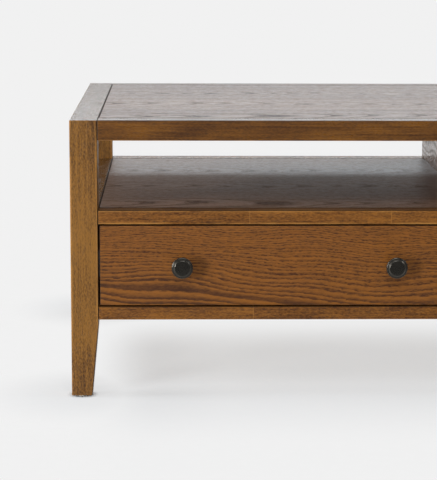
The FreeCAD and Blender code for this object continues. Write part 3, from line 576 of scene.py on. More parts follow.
@dataclass(frozen=True)
class WoodFinish:
    """A stained and lacquered wood.

    Attributes:
        name: the finish's name.
        light: colour of the pale fibres.
        dark: colour of the early wood and dark streaks.
        pore: colour of the open pores.
        worn_and_highlight: colour of glue joints, and of the lightened edges, which are wear and painted
            highlight.
        glaze_and_shade: colour of the glazing in the joints, and of the painted shade in seams, gaps and on
            faces square to the front.
        figure: strength of the growth rings.
        crowding: how closely the rings lie.
        sway: waves in the rings, in metres.
        ragged: teeth on the rings' edges, in metres.
        dashes: how far the rings break up into dashes.
        streak: strength of the lengthwise streaks.
        blotch: strength of the stain's blotches.
        mottle: strength of the fine mottle.
        pore_cover: how much of the surface the pores take.
        pore_strength: how dark the pores show.
        rub_and_highlight: strength of the lightened edges, which are wear and painted highlight.
        roughness: roughness of the lacquer between the pores.
        relief: depth of the open grain in metres.
        tone: how far the plain fibres lie from light to dark.
        fleck: size of the streaks and mottle against those of plain timber.
        shine: strength of the sealed wood's reflection.
        coat: strength of the lacquer coat over it.
        coat_roughness: roughness of that coat.
        coat_breaks: how far ring lines, pores, flakes and streaks break the coat's reflection.
        wave: height of the slow waves along the grain, in metres.
        tips: how much darker the ring tips along the heart line show.
    """

    name: str
    light: Colour
    dark: Colour
    pore: Colour
    worn_and_highlight: Colour
    glaze_and_shade: Colour
    figure: float
    crowding: float
    sway: float
    ragged: float
    dashes: float
    streak: float
    blotch: float
    mottle: float
    pore_cover: float
    pore_strength: float
    rub_and_highlight: float
    roughness: float
    relief: float
    tone: float = 0.3
    fleck: float = 1.0
    shine: float = 0.32
    coat: float = 0.0
    coat_roughness: float = 0.3
    coat_breaks: float = 0.0
    wave: float = 0.0
    tips: float = 0.0

    # How far apart in the log neighbouring leaves and staves were cut, in metres, and their spread of tints.
    SLIP = 0.37
    TINT_SPREAD = 0.22
    # Width of the glue line between staves, in metres, and how far it shows.
    GLUE_WIDTH = 0.0011
    GLUE_SHOW = 0.4
    # How far in from its ends along the grain a piece grows darker, in metres, and how much darker it is
    # there.
    END_DARKENING_REACH = 0.16
    END_DARKENING_TONE = 0.34
    # Width of the painted shade and glazing in the seams at the ends and sides, in metres, and how far they
    # show.
    END_SEAM = 0.0026
    SIDE_SEAM = 0.006
    GLAZE_AND_SHADE_SHOW = 0.9
    # How much further the coarse pores open in early wood, how far in plain wood, and how far the fine ones.
    BAND_PORES = 0.7
    PLAIN_PORES = 0.3
    FINE_PORES = 0.35
    # What pores, blotches, early wood and the joints with painted shade and glazing add to the roughness.
    PORE_ROUGHNESS = 0.14
    BLOTCH_ROUGHNESS = 0.08
    BAND_ROUGHNESS = 0.07
    GLAZE_AND_SHADE_ROUGHNESS = 0.5
    # How far the relief shows, and what mottle and early wood add to it.
    BUMP = 0.55
    MOTTLE_RELIEF = 0.35
    BAND_RELIEF = -0.25
    # Size of the flakes in the coat, where a ring counts as a line, and how far each thing breaks the coat.
    FLAKE_PITCH = (0.012, 0.011, 0.011)
    LINE_EDGE = (0.4, 0.95)
    LINE_BREAK = 0.6
    PORE_BREAK = 0.5
    FLAKE_BREAK = 0.9
    STREAK_BREAK = 0.4

    def material(self, piece: str, effects: Effects, lay: GrainLay) -> bpy.types.Material:
        """Makes the finish for one piece.

        Args:
            piece: name of the piece.
            effects: shared effects.
            lay: how the piece was cut.

        Returns:
            The material.
        """
        material, shading, surface = new_material(f"{self.name}_{piece}")
        mapped = {"Vector": shading.spot(), "Location": lay.shift, "Rotation": lay.grain.turn}
        whole = shading.output(shading.node("ShaderNodeMapping", mapped))
        board = shading.effect(effects.lay_up, {
            "Place": whole, "Leaf": lay.leaf, "Stave": lay.stave, "Start": lay.stave_start, "Slip": self.SLIP,
            "Joint": self.GLUE_WIDTH, "Draw": lay.draw})
        place = board["Place"]
        rings = shading.effect(effects.growth_rings, {
            "Place": place, "Depth": lay.depth, "Taper": lay.taper, "Crowding": self.crowding,
            "Sway": self.sway, "Ragged": self.ragged, "Dashes": self.dashes})
        band, tips = rings["Band"], rings["Tips"] * self.tips
        coarse = shading.node("ShaderNodeVectorMath", {0: place, "Scale": 1 / self.fleck}, operation="SCALE")
        streaks = shading.effect(effects.streaks, {"Place": shading.output(coarse)})
        streak, blotch, mottle = streaks["Streak"], streaks["Blotch"], streaks["Mottle"]
        pores = shading.effect(effects.pores, {"Place": place, "Cover": self.pore_cover})
        open_grain = (pores["Coarse"] * (band * self.BAND_PORES + self.PLAIN_PORES)
                      + pores["Fine"] * self.FINE_PORES)
        open_grain = shading.math("MINIMUM", open_grain, 1.0)
        rub_and_highlight, joint = self._edges(shading, effects, lay, whole)

        tone = (band * self.figure + tips + streak * self.streak + blotch * self.blotch + mottle * self.mottle
                + board["Tint"] * self.TINT_SPREAD + self._darker_at_ends(shading, lay, whole)
                + (lay.tone + self.tone))
        colour = shading.mix(shading.clamp(tone), self.light, self.dark)
        colour = shading.mix(open_grain * self.pore_strength, colour, self.pore)
        colour = shading.mix(board["Joint"] * self.GLUE_SHOW, colour, self.worn_and_highlight)
        # The lightened edges are wear and painted highlight.
        colour = shading.mix(rub_and_highlight * self.rub_and_highlight, colour, self.worn_and_highlight)
        # The darkened joints, seams and flanks are painted shade, together with glazing.
        colour = shading.mix(joint * self.GLAZE_AND_SHADE_SHOW, colour, self.glaze_and_shade)
        roughness = (open_grain * self.PORE_ROUGHNESS + blotch * self.BLOTCH_ROUGHNESS
                     + band * self.BAND_ROUGHNESS + joint * self.GLAZE_AND_SHADE_ROUGHNESS + self.roughness)
        grain = mottle * self.MOTTLE_RELIEF - open_grain + band * self.BAND_RELIEF
        height = grain * self.relief + mottle * self.wave
        shading.wire(surface.inputs["Base Color"], colour)
        shading.wire(surface.inputs["Roughness"], roughness)
        shading.wire(surface.inputs["Normal"], shading.bump(self.BUMP, 1.0, height))
        surface.inputs["Specular IOR Level"].default_value = self.shine
        if self.coat:
            flakes = shading.noise(place, self.FLAKE_PITCH)
            lines = shading.remap(band, *self.LINE_EDGE)
            breaks = (lines * self.LINE_BREAK + tips + open_grain * self.PORE_BREAK
                      + flakes * self.FLAKE_BREAK + streak * self.STREAK_BREAK)
            weight = (1.0 - breaks * self.coat_breaks) * self.coat * (1.0 - joint)
            shading.wire(surface.inputs["Coat Weight"], shading.clamp(weight))
            surface.inputs["Coat Roughness"].default_value = self.coat_roughness - lay.gloss
        return material

    def _darker_at_ends(self, shading: Shading, lay: GrainLay, whole: Signal) -> Signal:
        """Tells how much darker the piece grows towards its ends along the grain.

        Args:
            shading: the material's tree.
            lay: how the piece was cut.
            whole: place on the piece, laid along the grain.

        Returns:
            What the ends add to the tone.
        """
        along, _, _ = shading.parts(whole)
        from_end = shading.inside(along, *lay.along(lay.stops))
        return shading.remap(from_end, 0.0, self.END_DARKENING_REACH, self.END_DARKENING_TONE, 0.0)

    def _edges(self, shading: Shading, effects: Effects, lay: GrainLay,
               whole: Signal) -> tuple[Signal, Signal]:
        """Finds the edges of a piece lightened as wear and painted highlight, and the joints darkened as
        painted shade and glazing.

        Args:
            shading: the material's tree.
            effects: shared effects.
            lay: how the piece was cut.
            whole: place on the piece, laid along the grain.

        Returns:
            Mask of the edges lightened as wear and painted highlight, and mask of the joints darkened as
            painted shade and glazing.
        """
        normal = shading.output(shading.node("ShaderNodeNewGeometry"), "Normal")
        turned_normal = {"Vector": normal, "Rotation": lay.grain.turn}
        facing = shading.output(shading.node("ShaderNodeMapping", turned_normal, vector_type="VECTOR"))
        low, high = lay.across(lay.free_edges)
        ends, across_joint, through_joint = lay.joints
        edges = shading.effect(effects.edges, {
            "Place": whole, "Facing": facing, "Ends": ends, "Across": across_joint, "Through": through_joint,
            "Low": low, "High": high, "Flanks": lay.flanks})
        along, across, _ = shading.parts(whole)
        end_gap = shading.inside(along, *lay.along(lay.end_seams))
        side_gap = shading.inside(across, *lay.across(lay.side_seams))
        joint = shading.highest(edges["Joint"], shading.fall(end_gap, self.END_SEAM / 2, self.END_SEAM),
                                shading.fall(side_gap, self.SIDE_SEAM / 2, self.SIDE_SEAM))
        return edges["Rub"], joint


@dataclass(frozen=True)
class MetalFinish:
    """A plated or painted metal.

    Attributes:
        name: the finish's name.
        colour: colour of the clean metal.
        tarnish: colour of its darker patches.
        roughness: roughness of the clean metal.
        brushing: size of the brush marks along, across and through them, in metres.
        relief: depth of the brush marks in metres.
    """

    name: str
    colour: Colour
    tarnish: Colour
    roughness: float
    brushing: Triple
    relief: float

    # Size of the tarnish patches in metres, their soft edge, and how far brush marks break them up.
    PATCH_PITCH = (0.012, 0.012, 0.012)
    PATCH_EDGE = (-0.2, 0.3)
    MARKS_IN_PATCH = 0.5
    # What tarnish and brush marks add to the roughness, and how far the marks' relief shows.
    TARNISH_ROUGHNESS = 0.14
    MARK_ROUGHNESS = 0.1
    BUMP = 0.4

    def material(self) -> bpy.types.Material:
        """Makes the finish.

        Returns:
            The material.
        """
        material, shading, surface = new_material(self.name)
        spot = shading.spot()
        marks = shading.noise(spot, self.brushing)
        patches = shading.noise(spot, self.PATCH_PITCH, 4.0) + marks * self.MARKS_IN_PATCH
        share = shading.remap(patches, *self.PATCH_EDGE)
        roughness = share * self.TARNISH_ROUGHNESS + marks * self.MARK_ROUGHNESS + self.roughness
        shading.wire(surface.inputs["Base Color"], shading.mix(share, self.colour, self.tarnish))
        shading.wire(surface.inputs["Roughness"], roughness)
        shading.wire(surface.inputs["Normal"], shading.bump(self.BUMP, self.relief, marks))
        surface.inputs["Metallic"].default_value = 1.0
        return material


@dataclass(frozen=True)
class PlasticFinish:
    """A moulded plastic.

    Attributes:
        name: the finish's name.
        colour: colour of the clean moulding.
        scuffed: colour of its scuffs.
        roughness: roughness of the clean moulding.
    """

    name: str
    colour: Colour
    scuffed: Colour
    roughness: float

    # Size of the scuffs in metres, their soft edge, and what they add to the roughness.
    SCUFF_PITCH = (0.006, 0.003, 0.003)
    SCUFF_EDGE = (-0.05, 0.3)
    SCUFF_ROUGHNESS = 0.2
    # Size and depth of the mould's spark texture in metres, and how far it shows.
    SPARK_PITCH = (0.0006, 0.0006, 0.0006)
    SPARK_DEPTH = 0.0001
    BUMP = 0.5

    def material(self) -> bpy.types.Material:
        """Makes the finish.

        Returns:
            The material.
        """
        material, shading, surface = new_material(self.name)
        spot = shading.spot()
        scuff = shading.remap(shading.noise(spot, self.SCUFF_PITCH, 4.0), *self.SCUFF_EDGE)
        spark = shading.noise(spot, self.SPARK_PITCH)
        shading.wire(surface.inputs["Base Color"], shading.mix(scuff, self.colour, self.scuffed))
        shading.wire(surface.inputs["Roughness"], scuff * self.SCUFF_ROUGHNESS + self.roughness)
        shading.wire(surface.inputs["Normal"], shading.bump(self.BUMP, self.SPARK_DEPTH, spark))
        return material


FRAME_WOOD = WoodFinish(
    name="frame_wood", light=stain(142, 97, 38), dark=stain(76, 45, 12), pore=stain(52, 31, 10),
    worn_and_highlight=stain(182, 128, 60), glaze_and_shade=stain(28, 17, 7), figure=0.05, crowding=890.0, sway=0.02, ragged=0.002,
    dashes=0.4, streak=0.7, blotch=0.6, mottle=1.05, pore_cover=0.36, pore_strength=0.65, rub_and_highlight=0.7,
    roughness=0.36, relief=0.0003, tone=0.36, fleck=0.7)
RAIL_WOOD = replace(
    FRAME_WOOD, name="rail_wood", light=stain(128, 82, 28), dark=stain(68, 37, 9), mottle=0.55,
    roughness=0.28, relief=0.0001, shine=0.5)
END_WOOD = replace(
    FRAME_WOOD, name="end_wood", light=stain(124, 86, 44), dark=stain(70, 45, 20), mottle=0.2,
    roughness=0.22, relief=0.0001, shine=0.8)
LIP_WOOD = replace(FRAME_WOOD, name="lip_wood", light=stain(142, 90, 31), dark=stain(78, 42, 9))
PANEL_VENEER = WoodFinish(
    name="panel_veneer", light=stain(140, 103, 77), dark=stain(74, 51, 37), pore=stain(44, 28, 20),
    worn_and_highlight=stain(140, 98, 58), glaze_and_shade=stain(22, 13, 8), figure=0.5, crowding=1090.0, sway=0.04, ragged=0.003,
    dashes=0.5, streak=0.3, blotch=0.25, mottle=0.45, pore_cover=0.45, pore_strength=0.65, rub_and_highlight=0.5,
    roughness=0.55, relief=0.0003, tone=0.15, fleck=4.5, shine=0.1, coat=0.88, coat_roughness=0.42,
    coat_breaks=0.6, wave=0.0005, tips=0.36)
DRAWER_VENEER = WoodFinish(
    name="drawer_veneer", light=stain(138, 84, 25), dark=stain(71, 37, 9), pore=stain(54, 30, 9),
    worn_and_highlight=stain(160, 106, 54), glaze_and_shade=stain(26, 15, 8), figure=0.88, crowding=1100.0, sway=0.034,
    ragged=0.0022, dashes=0.62, streak=0.3, blotch=0.2, mottle=0.25, pore_cover=0.4, pore_strength=0.5,
    rub_and_highlight=0.35, roughness=0.45, relief=0.0004, tone=0.14)
BOX_WOOD = WoodFinish(
    name="drawer_box_wood", light=stain(222, 192, 150), dark=stain(186, 146, 100), pore=stain(150, 112, 74),
    worn_and_highlight=stain(232, 206, 168), glaze_and_shade=stain(120, 88, 56), figure=0.4, crowding=890.0, sway=0.03, ragged=0.002,
    dashes=0.2, streak=0.5, blotch=0.3, mottle=0.2, pore_cover=0.3, pore_strength=0.5, rub_and_highlight=0.3,
    roughness=0.45, relief=0.0003)
PLAIN_WOOD = WoodFinish(
    name="plain_wood", light=stain(196, 160, 116), dark=stain(156, 118, 76), pore=stain(120, 88, 56),
    worn_and_highlight=stain(206, 172, 130), glaze_and_shade=stain(110, 80, 52), figure=0.5, crowding=720.0, sway=0.04, ragged=0.003,
    dashes=0.3, streak=0.5, blotch=0.4, mottle=0.25, pore_cover=0.3, pore_strength=0.5, rub_and_highlight=0.3,
    roughness=0.6, relief=0.0004)
KNOB_BRONZE = MetalFinish(
    name="knob_bronze", colour=stain(90, 87, 81), tarnish=stain(78, 75, 70), roughness=0.24,
    brushing=(0.0012, 0.004, 0.0003), relief=0.00001)
RUNNER_ZINC = MetalFinish(
    name="runner_zinc", colour=stain(198, 200, 202), tarnish=stain(180, 182, 183), roughness=0.3,
    brushing=(0.003, 0.09, 0.0016), relief=0.00001)
SCREW_ZINC = MetalFinish(
    name="screw_zinc", colour=stain(188, 186, 178), tarnish=stain(128, 126, 118), roughness=0.32,
    brushing=(0.001, 0.001, 0.001), relief=0.00004)
GLIDE_NYLON = PlasticFinish(
    name="glide_nylon", colour=stain(206, 199, 184), scuffed=stain(160, 152, 138), roughness=0.5)


def dress(node: str, material: bpy.types.Material) -> None:
    """Gives a CAD node its finish.

    Args:
        node: the node's name.
        material: finish for all its slots.
    """
    piece = frame["nodes"][node]
    for slot in piece.material_slots:
        slot.material = material
    log.info("dressed %s in %s", node, material.name)


def box_of(points: Iterable[Vector]) -> tuple[Vector, Vector]:
    """Finds the lowest and highest corner of a set of points."""
    columns = list(zip(*points))
    return Vector([min(column) for column in columns]), Vector([max(column) for column in columns])


def solids_of(node: str) -> list[list[Vector]]:
    """Finds the separate solids of a CAD node.

    Args:
        node: the node's name.

    Returns:
        The corners of each solid, from the left.
    """
    mesh = bmesh.new()
    mesh.from_mesh(frame["nodes"][node].data)
    bmesh.ops.remove_doubles(mesh, verts=mesh.verts, dist=SAME_POINT)
    waiting = set(mesh.verts)
    solids = []
    while waiting:
        found = [waiting.pop()]
        for vert in found:
            reached = {link.other_vert(vert) for link in vert.link_edges} & waiting
            waiting -= reached
            found.extend(reached)
        solids.append([vert.co.copy() for vert in found])
    mesh.free()
    return sorted(solids, key=lambda points: tuple(box_of(points)[0]))


def gather(shapes: Iterable[bmesh.types.BMesh]) -> bmesh.types.BMesh:
    """Puts several shapes into one and frees them.

    Args:
        shapes: the shapes, each in place.

    Returns:
        The shape that holds them all.
    """
    whole = bmesh.new()
    for shape in shapes:
        single = bpy.data.meshes.new("single")
        shape.to_mesh(single)
        shape.free()
        whole.from_mesh(single)
        bpy.data.meshes.remove(single)
    return whole


def new_piece(name: str, mesh: bmesh.types.BMesh, material: bpy.types.Material) -> bpy.types.Object:
    """Turns a finished bmesh into a piece.

    Args:
        name: the piece's name.
        mesh: its shape, in place; it is freed.
        material: its finish.

    Returns:
        The new object, at the origin.
    """
    data = bpy.data.meshes.new(name)
    mesh.to_mesh(data)
    mesh.free()
    data.materials.append(material)
    piece = bpy.data.objects.new(name, data)
    bpy.context.collection.objects.link(piece)
    log.info("built %s with %d faces", name, len(data.polygons))
    return piece


def turned(profile: Iterable[Pair], steps: int) -> bmesh.types.BMesh:
    """Turns a profile about the Z axis.

    Args:
        profile: radius and height of each point, starting on the axis.
        steps: number of sides.

    Returns:
        The turned shape, facing outwards, open where the profile ends off the axis.
    """
    mesh = bmesh.new()
    points = [mesh.verts.new((radius, 0.0, height)) for radius, height in profile]
    edges = [mesh.edges.new(pair) for pair in zip(points, points[1:])]
    bmesh.ops.spin(mesh, geom=points + edges, cent=(0, 0, 0), axis=(0, 0, 1), angle=math.tau, steps=steps,
                   use_merge=True)
    bmesh.ops.remove_doubles(mesh, verts=mesh.verts, dist=SAME_POINT)
    bmesh.ops.recalc_face_normals(mesh, faces=mesh.faces)
    return mesh


def on_ring(vert: bmesh.types.BMVert, radius: float, height: float) -> bool:
    """Tells whether a point of a turned shape lies on a ring."""
    point = (math.hypot(vert.co.x, vert.co.y), vert.co.z)
    return abs(point[0] - radius) < SAME_RING and abs(point[1] - height) < SAME_RING


def round_rings(mesh: bmesh.types.BMesh, rings: Mapping[Pair, float], segments: int) -> None:
    """Rounds circular edges of a turned shape.

    Args:
        mesh: the turned shape.
        rings: how far each edge is rounded, by its radius and height.
        segments: faces across each rounding.
    """
    for place, offset in rings.items():
        ring = [edge for edge in mesh.edges if all(on_ring(vert, *place) for vert in edge.verts)]
        bmesh.ops.bevel(mesh, geom=ring, offset=offset, offset_type="OFFSET", segments=segments, profile=0.5,
                        affect="EDGES", material=-1)


def smooth(mesh: bmesh.types.BMesh) -> None:
    """Shades a shape smooth and keeps its sharp edges.

    Args:
        mesh: the shape.
    """
    for face in mesh.faces:
        face.smooth = True
    for edge in mesh.edges:
        edge.smooth = edge.calc_face_angle(0.0) < SHARP_ANGLE


@dataclass
class Joinery:
    """A sub-assembly of boards that take their wood from the shared effects.

    Attributes:
        effects: shared effects.
    """

    effects: Effects

    def dress_board(self, node: str, wood: WoodFinish, lay: GrainLay) -> None:
        """Dresses one board in its own cut of a wood.

        Args:
            node: the board's CAD node.
            wood: its finish.
            lay: how it was cut.
        """
        dress(node, wood.material(node, self.effects, lay))


@dataclass
class EndFrames(Joinery):
    """Posts, end rails and end panels at both ends.

    Attributes:
        ends: the two ends, each with the way along the table towards its middle.
        post_steps: how far apart the posts lie in the log, along, across and through the grain, in metres.
        post_tone: how much darker than the other frame pieces the posts took their stain.
        rail_steps: how far apart the rails lie in the log, along and across the grain, in metres.
        panel_step: how far apart the end panels lie in the log along the grain, in metres.
        panel_heart: height of the heart of the log on the end panels, in metres.
        batten_step: how far apart the battens lie in the log across the grain, in metres.
    """

    ends: dict[str, float] = field(default_factory=lambda: {"left": 1.0, "right": -1.0})
    post_steps: Triple = (0.3, 0.17, 0.11)
    post_tone: float = -0.16
    rail_steps: Pair = (0.41, 0.23)
    panel_step: float = 0.5
    panel_heart: float = 0.13
    batten_step: float = 0.3

    def dress_posts(self) -> None:
        """Dresses the four posts, each cut from its own plank."""
        along, across, through = self.post_steps
        for end_number, (end, inwards) in enumerate(self.ends.items()):
            for row, place in enumerate(("front", "rear")):
                node = f"leg_{place}_{end}"
                low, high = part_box(node)
                shift = (along * end_number, across * row, through * end_number)
                self.dress_board(node, FRAME_WOOD, GrainLay(
                    Grain.UPRIGHT, shift=shift, tone=self.post_tone, joints=(1.0, inwards, 0.0),
                    free_edges=(low.x, high.x), stops=(low.z, high.z)))

    def dress_rails(self) -> None:
        """Dresses the rails that join a front post to a rear one."""
        along, across = self.rail_steps
        for end_number, (end, inwards) in enumerate(self.ends.items()):
            for level, rail in enumerate(("top", "shelf", "bottom")):
                self.dress_board(f"end_{rail}_rail_{end}", END_WOOD, GrainLay(
                    Grain.DEPTH_ON_TOP, shift=(along * level, across * end_number, 0.0),
                    joints=(0.0, inwards, 0.0)))

    def dress_panels(self) -> None:
        """Dresses the veneered end panels and the battens behind them."""
        for end_number, end in enumerate(self.ends):
            self.dress_board(f"end_panel_{end}", DRAWER_VENEER, GrainLay(
                Grain.DEPTH_ON_SIDE, shift=(self.panel_step * end_number, -self.panel_heart, 0.0), depth=0.06,
                taper=0.08))
            self.dress_board(f"runner_batten_{end}", PLAIN_WOOD, GrainLay(
                Grain.DEPTH_ON_SIDE, shift=(0.2, self.batten_step * end_number, 0.0)))


@dataclass
class Case(Joinery):
    """Top, shelf, divider, stile, rails and back of the case.

    Attributes:
        top_leaf: width of the veneer leaves on the top and shelf, in metres.
        top_heart: how far before the table's middle the heart of one leaf lies, in metres.
        lip_start: where the staves of the shelf's lips are counted from, in metres from the middle.
        lip_stave: mean length of the staves in the shelf's lips, in metres.
        lip_draw: tints that the lips' staves were sorted into.
        rail_start: where the staves of the bottom rails are counted from, in metres from the middle.
        rail_stave: mean length of the staves in the bottom rails, in metres.
        rail_draw: tints that the bottom rails' staves were sorted into.
    """

    top_leaf: float = 0.205
    top_heart: float = 0.06
    lip_start: float = -0.43
    lip_stave: float = 0.325
    lip_draw: float = 5.4
    rail_start: float = -0.3335
    rail_stave: float = 0.42
    rail_draw: float = 0.95

    def _framed(self, end_rails: str, front: str, back: str) -> dict[str, Any]:
        """Finds how a veneered panel lies between its rails.

        Args:
            end_rails: name of the rails at its ends, without the end.
            front: node before it.
            back: node behind it.

        Returns:
            What the top and the shelf have in common, and the panel's own seams.
        """
        ends = (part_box(f"{end_rails}_left")[1].x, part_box(f"{end_rails}_right")[0].x)
        sides = (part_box(front)[1].y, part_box(back)[0].y)
        return {"depth": 0.12, "taper": 0.08, "leaf": self.top_leaf, "joints": (1.0, 0.0, 1.0),
                "end_seams": ends, "side_seams": sides}

    def dress_panels(self) -> None:
        """Dresses the veneered panels."""
        top = self._framed("end_top_rail", "top_front_rail", "top_back_rail")
        shelf = self._framed("end_shelf_rail", "shelf_front_lip", "shelf_back_lip")
        self.dress_board("top_panel", PANEL_VENEER, GrainLay(
            Grain.LENGTH_ON_TOP, shift=(0.2, self.top_heart, 0.0), **top))
        # The shelf panel takes a lighter tone than the top: painted light for its shaded bay.
        self.dress_board("shelf_panel", PANEL_VENEER, GrainLay(
            Grain.LENGTH_ON_TOP, shift=(0.2, self.top_heart, 0.3), tone=-0.3, **shelf))
        self.dress_board("shelf_divider", PANEL_VENEER, GrainLay(
            Grain.DEPTH_ON_SIDE, shift=(0.1, -0.39, 0.0), depth=0.02, taper=0.06, gloss=0.24))
        self.dress_board("centre_partition", PANEL_VENEER, GrainLay(
            Grain.DEPTH_ON_SIDE, shift=(0.4, -0.2, 0.0)))
        self.dress_board("back_panel", DRAWER_VENEER, GrainLay(
            Grain.LENGTH_ON_FACE, shift=(0.3, -0.15, 0.0), depth=0.07, taper=0.06))
        self.dress_board("bottom_board", PLAIN_WOOD, GrainLay(Grain.LENGTH_ON_TOP, leaf=0.3))

    def dress_rails(self) -> None:
        """Dresses the solid rails, lips and stile, and the dowels that join the frame."""
        lip_low, lip_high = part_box("shelf_front_lip")
        top = {"tone": 0.25}
        lip = {"stave": self.lip_stave, "stave_start": self.lip_start, "draw": self.lip_draw, "tone": 0.01,
               "free_edges": (lip_low.z, lip_high.z)}
        rail = {"stave": self.rail_stave, "stave_start": self.rail_start, "draw": self.rail_draw, "tone": 0.1}
        # Each rail's wood, its place across the log in metres, and the rest of its cut.
        cuts = {
            "top_front_rail": (RAIL_WOOD, 0.05, top),
            "top_back_rail": (RAIL_WOOD, 0.61, top),
            # The front lip's flanks get painted shade, which darkens its top face.
            "shelf_front_lip": (LIP_WOOD, 0.21, lip | {"flanks": 0.4}),
            "shelf_back_lip": (END_WOOD, 0.33, lip),
            "bottom_front_rail": (LIP_WOOD, 0.47, rail),
            "bottom_back_rail": (LIP_WOOD, 0.55, rail),
        }
        for node, (wood, shift, cut) in cuts.items():
            self.dress_board(node, wood, GrainLay(
                Grain.LENGTH_ON_FACE, shift=(0.0, shift, 0.0), joints=(1.0, 1.0, 0.0), **cut))
        self.dress_board("centre_stile", FRAME_WOOD, GrainLay(Grain.UPRIGHT, shift=(0.5, 0.0, 0.2)))
        self.dress_board("frame_dowels", BOX_WOOD, GrainLay(Grain.LENGTH_ON_TOP))


@dataclass
class Drawer(Joinery):
    """One drawer: its veneered front, pale box and turned knobs.

    Attributes:
        side: which of the two drawers it is.
        bronze: finish of the knobs.
        heart_below: how far the heart of the log lies below the front's lower edge, in metres.
        heart_depth: depth of the heart behind the veneer at the table's middle, in metres.
        board_steps: how far apart the box's boards lie in the log, along and across the grain, in metres.
        foot_radius: radius of a knob's foot, in metres.
        foot_height: height of that foot, in metres.
        neck_radius: radius of the knob's neck, in metres.
        neck_start: height at which the neck begins, as a share of the foot's height.
        neck_stop: height at which the neck ends, as a share of the height under the rim.
        rim_height: height of the knob's rim, in metres.
        rim_start: share of that height in which the rim widens.
        face_radius: radius of the raised face, in metres.
        face_height: height of the raised face over the rim, in metres.
        flank: width of the slope between face and rim, in metres.
        knob_sides: sides that a knob is turned with.
        rounding_faces: faces across each rounded edge of a knob.
    """

    side: str
    bronze: bpy.types.Material
    heart_below: float = 0.045
    heart_depth: float = 0.087
    board_steps: Pair = (0.13, 0.21)
    foot_radius: float = 0.0085
    foot_height: float = 0.002
    neck_radius: float = 0.006
    neck_start: float = 1.9
    neck_stop: float = 0.55
    rim_height: float = 0.006
    rim_start: float = 0.3
    face_radius: float = 0.0123
    face_height: float = 0.0021
    flank: float = 0.0023
    knob_sides: int = 64
    rounding_faces: int = 4

    def dress_front(self) -> None:
        """Dresses the front in a leaf cut past the heart, with its arches towards the right."""
        node = f"{self.side}_drawer_front"
        low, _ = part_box(node)
        # Its flanks get painted shade so that the gaps around the front read dark.
        self.dress_board(node, DRAWER_VENEER, GrainLay(
            Grain.LENGTH_ON_FACE, shift=(0.0, self.heart_below - low.z, 0.0), depth=self.heart_depth,
            taper=0.105, flanks=0.6))

    def dress_box(self) -> None:
        """Dresses the boards of the box."""
        along, across = self.board_steps
        grains = {"box_front": Grain.LENGTH_ON_FACE, "back": Grain.LENGTH_ON_FACE,
                  "inner_side": Grain.DEPTH_ON_SIDE, "outer_side": Grain.DEPTH_ON_SIDE,
                  "bottom": Grain.LENGTH_ON_TOP}
        for number, (board, grain) in enumerate(grains.items()):
            self.dress_board(f"{self.side}_drawer_{board}", BOX_WOOD, GrainLay(
                grain, shift=(along * number, across * number, 0.0)))

    def build_knobs(self) -> None:
        """Turns the knobs and sets them where the CAD ones stand."""
        node = f"{self.side}_drawer_knobs"
        knobs = []
        for points in solids_of(node):
            low, high = box_of(points)
            knob = self._turn_knob((high.z - low.z) / 2, high.y - low.y)
            middle = (low + high) / 2
            seat = Matrix.Translation((middle.x, high.y, middle.z)) @ Matrix.Rotation(math.pi / 2, 4, "X")
            bmesh.ops.transform(knob, matrix=seat, verts=knob.verts)
            knobs.append(knob)
        piece = new_piece(f"{self.side}_turned_knobs", gather(knobs), self.bronze)
        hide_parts(node)
        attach(piece, f"{self.side}_drawer")

    def _turn_knob(self, radius: float, length: float) -> bmesh.types.BMesh:
        """Turns one knob, standing on its foot.

        Args:
            radius: radius of the rim.
            length: how far the knob stands out.

        Returns:
            The knob's shape.
        """
        rim_top = length - self.face_height
        rim_foot = rim_top - self.rim_height
        foot = (self.foot_radius, self.foot_height)
        neck_foot = (self.neck_radius, self.foot_height * self.neck_start)
        neck_top = (self.neck_radius, rim_foot * self.neck_stop)
        rim_back = (radius, rim_foot + self.rim_height * self.rim_start)
        rim_front = (radius, rim_top)
        face = (self.face_radius, length)
        knob = turned([(0.0, 0.0), (self.foot_radius, 0.0), foot, neck_foot, neck_top,
                       (self.face_radius, rim_foot), rim_back, rim_front,
                       (self.face_radius + self.flank, rim_top), face, (0.0, length)], self.knob_sides)
        # How far each edge is rounded, in metres.
        rounding = {rim_front: 0.0019, rim_back: 0.0012, face: 0.0004, foot: 0.0006, neck_top: 0.003,
                    neck_foot: 0.0006}
        round_rings(knob, rounding, self.rounding_faces)
        smooth(knob)
        return knob


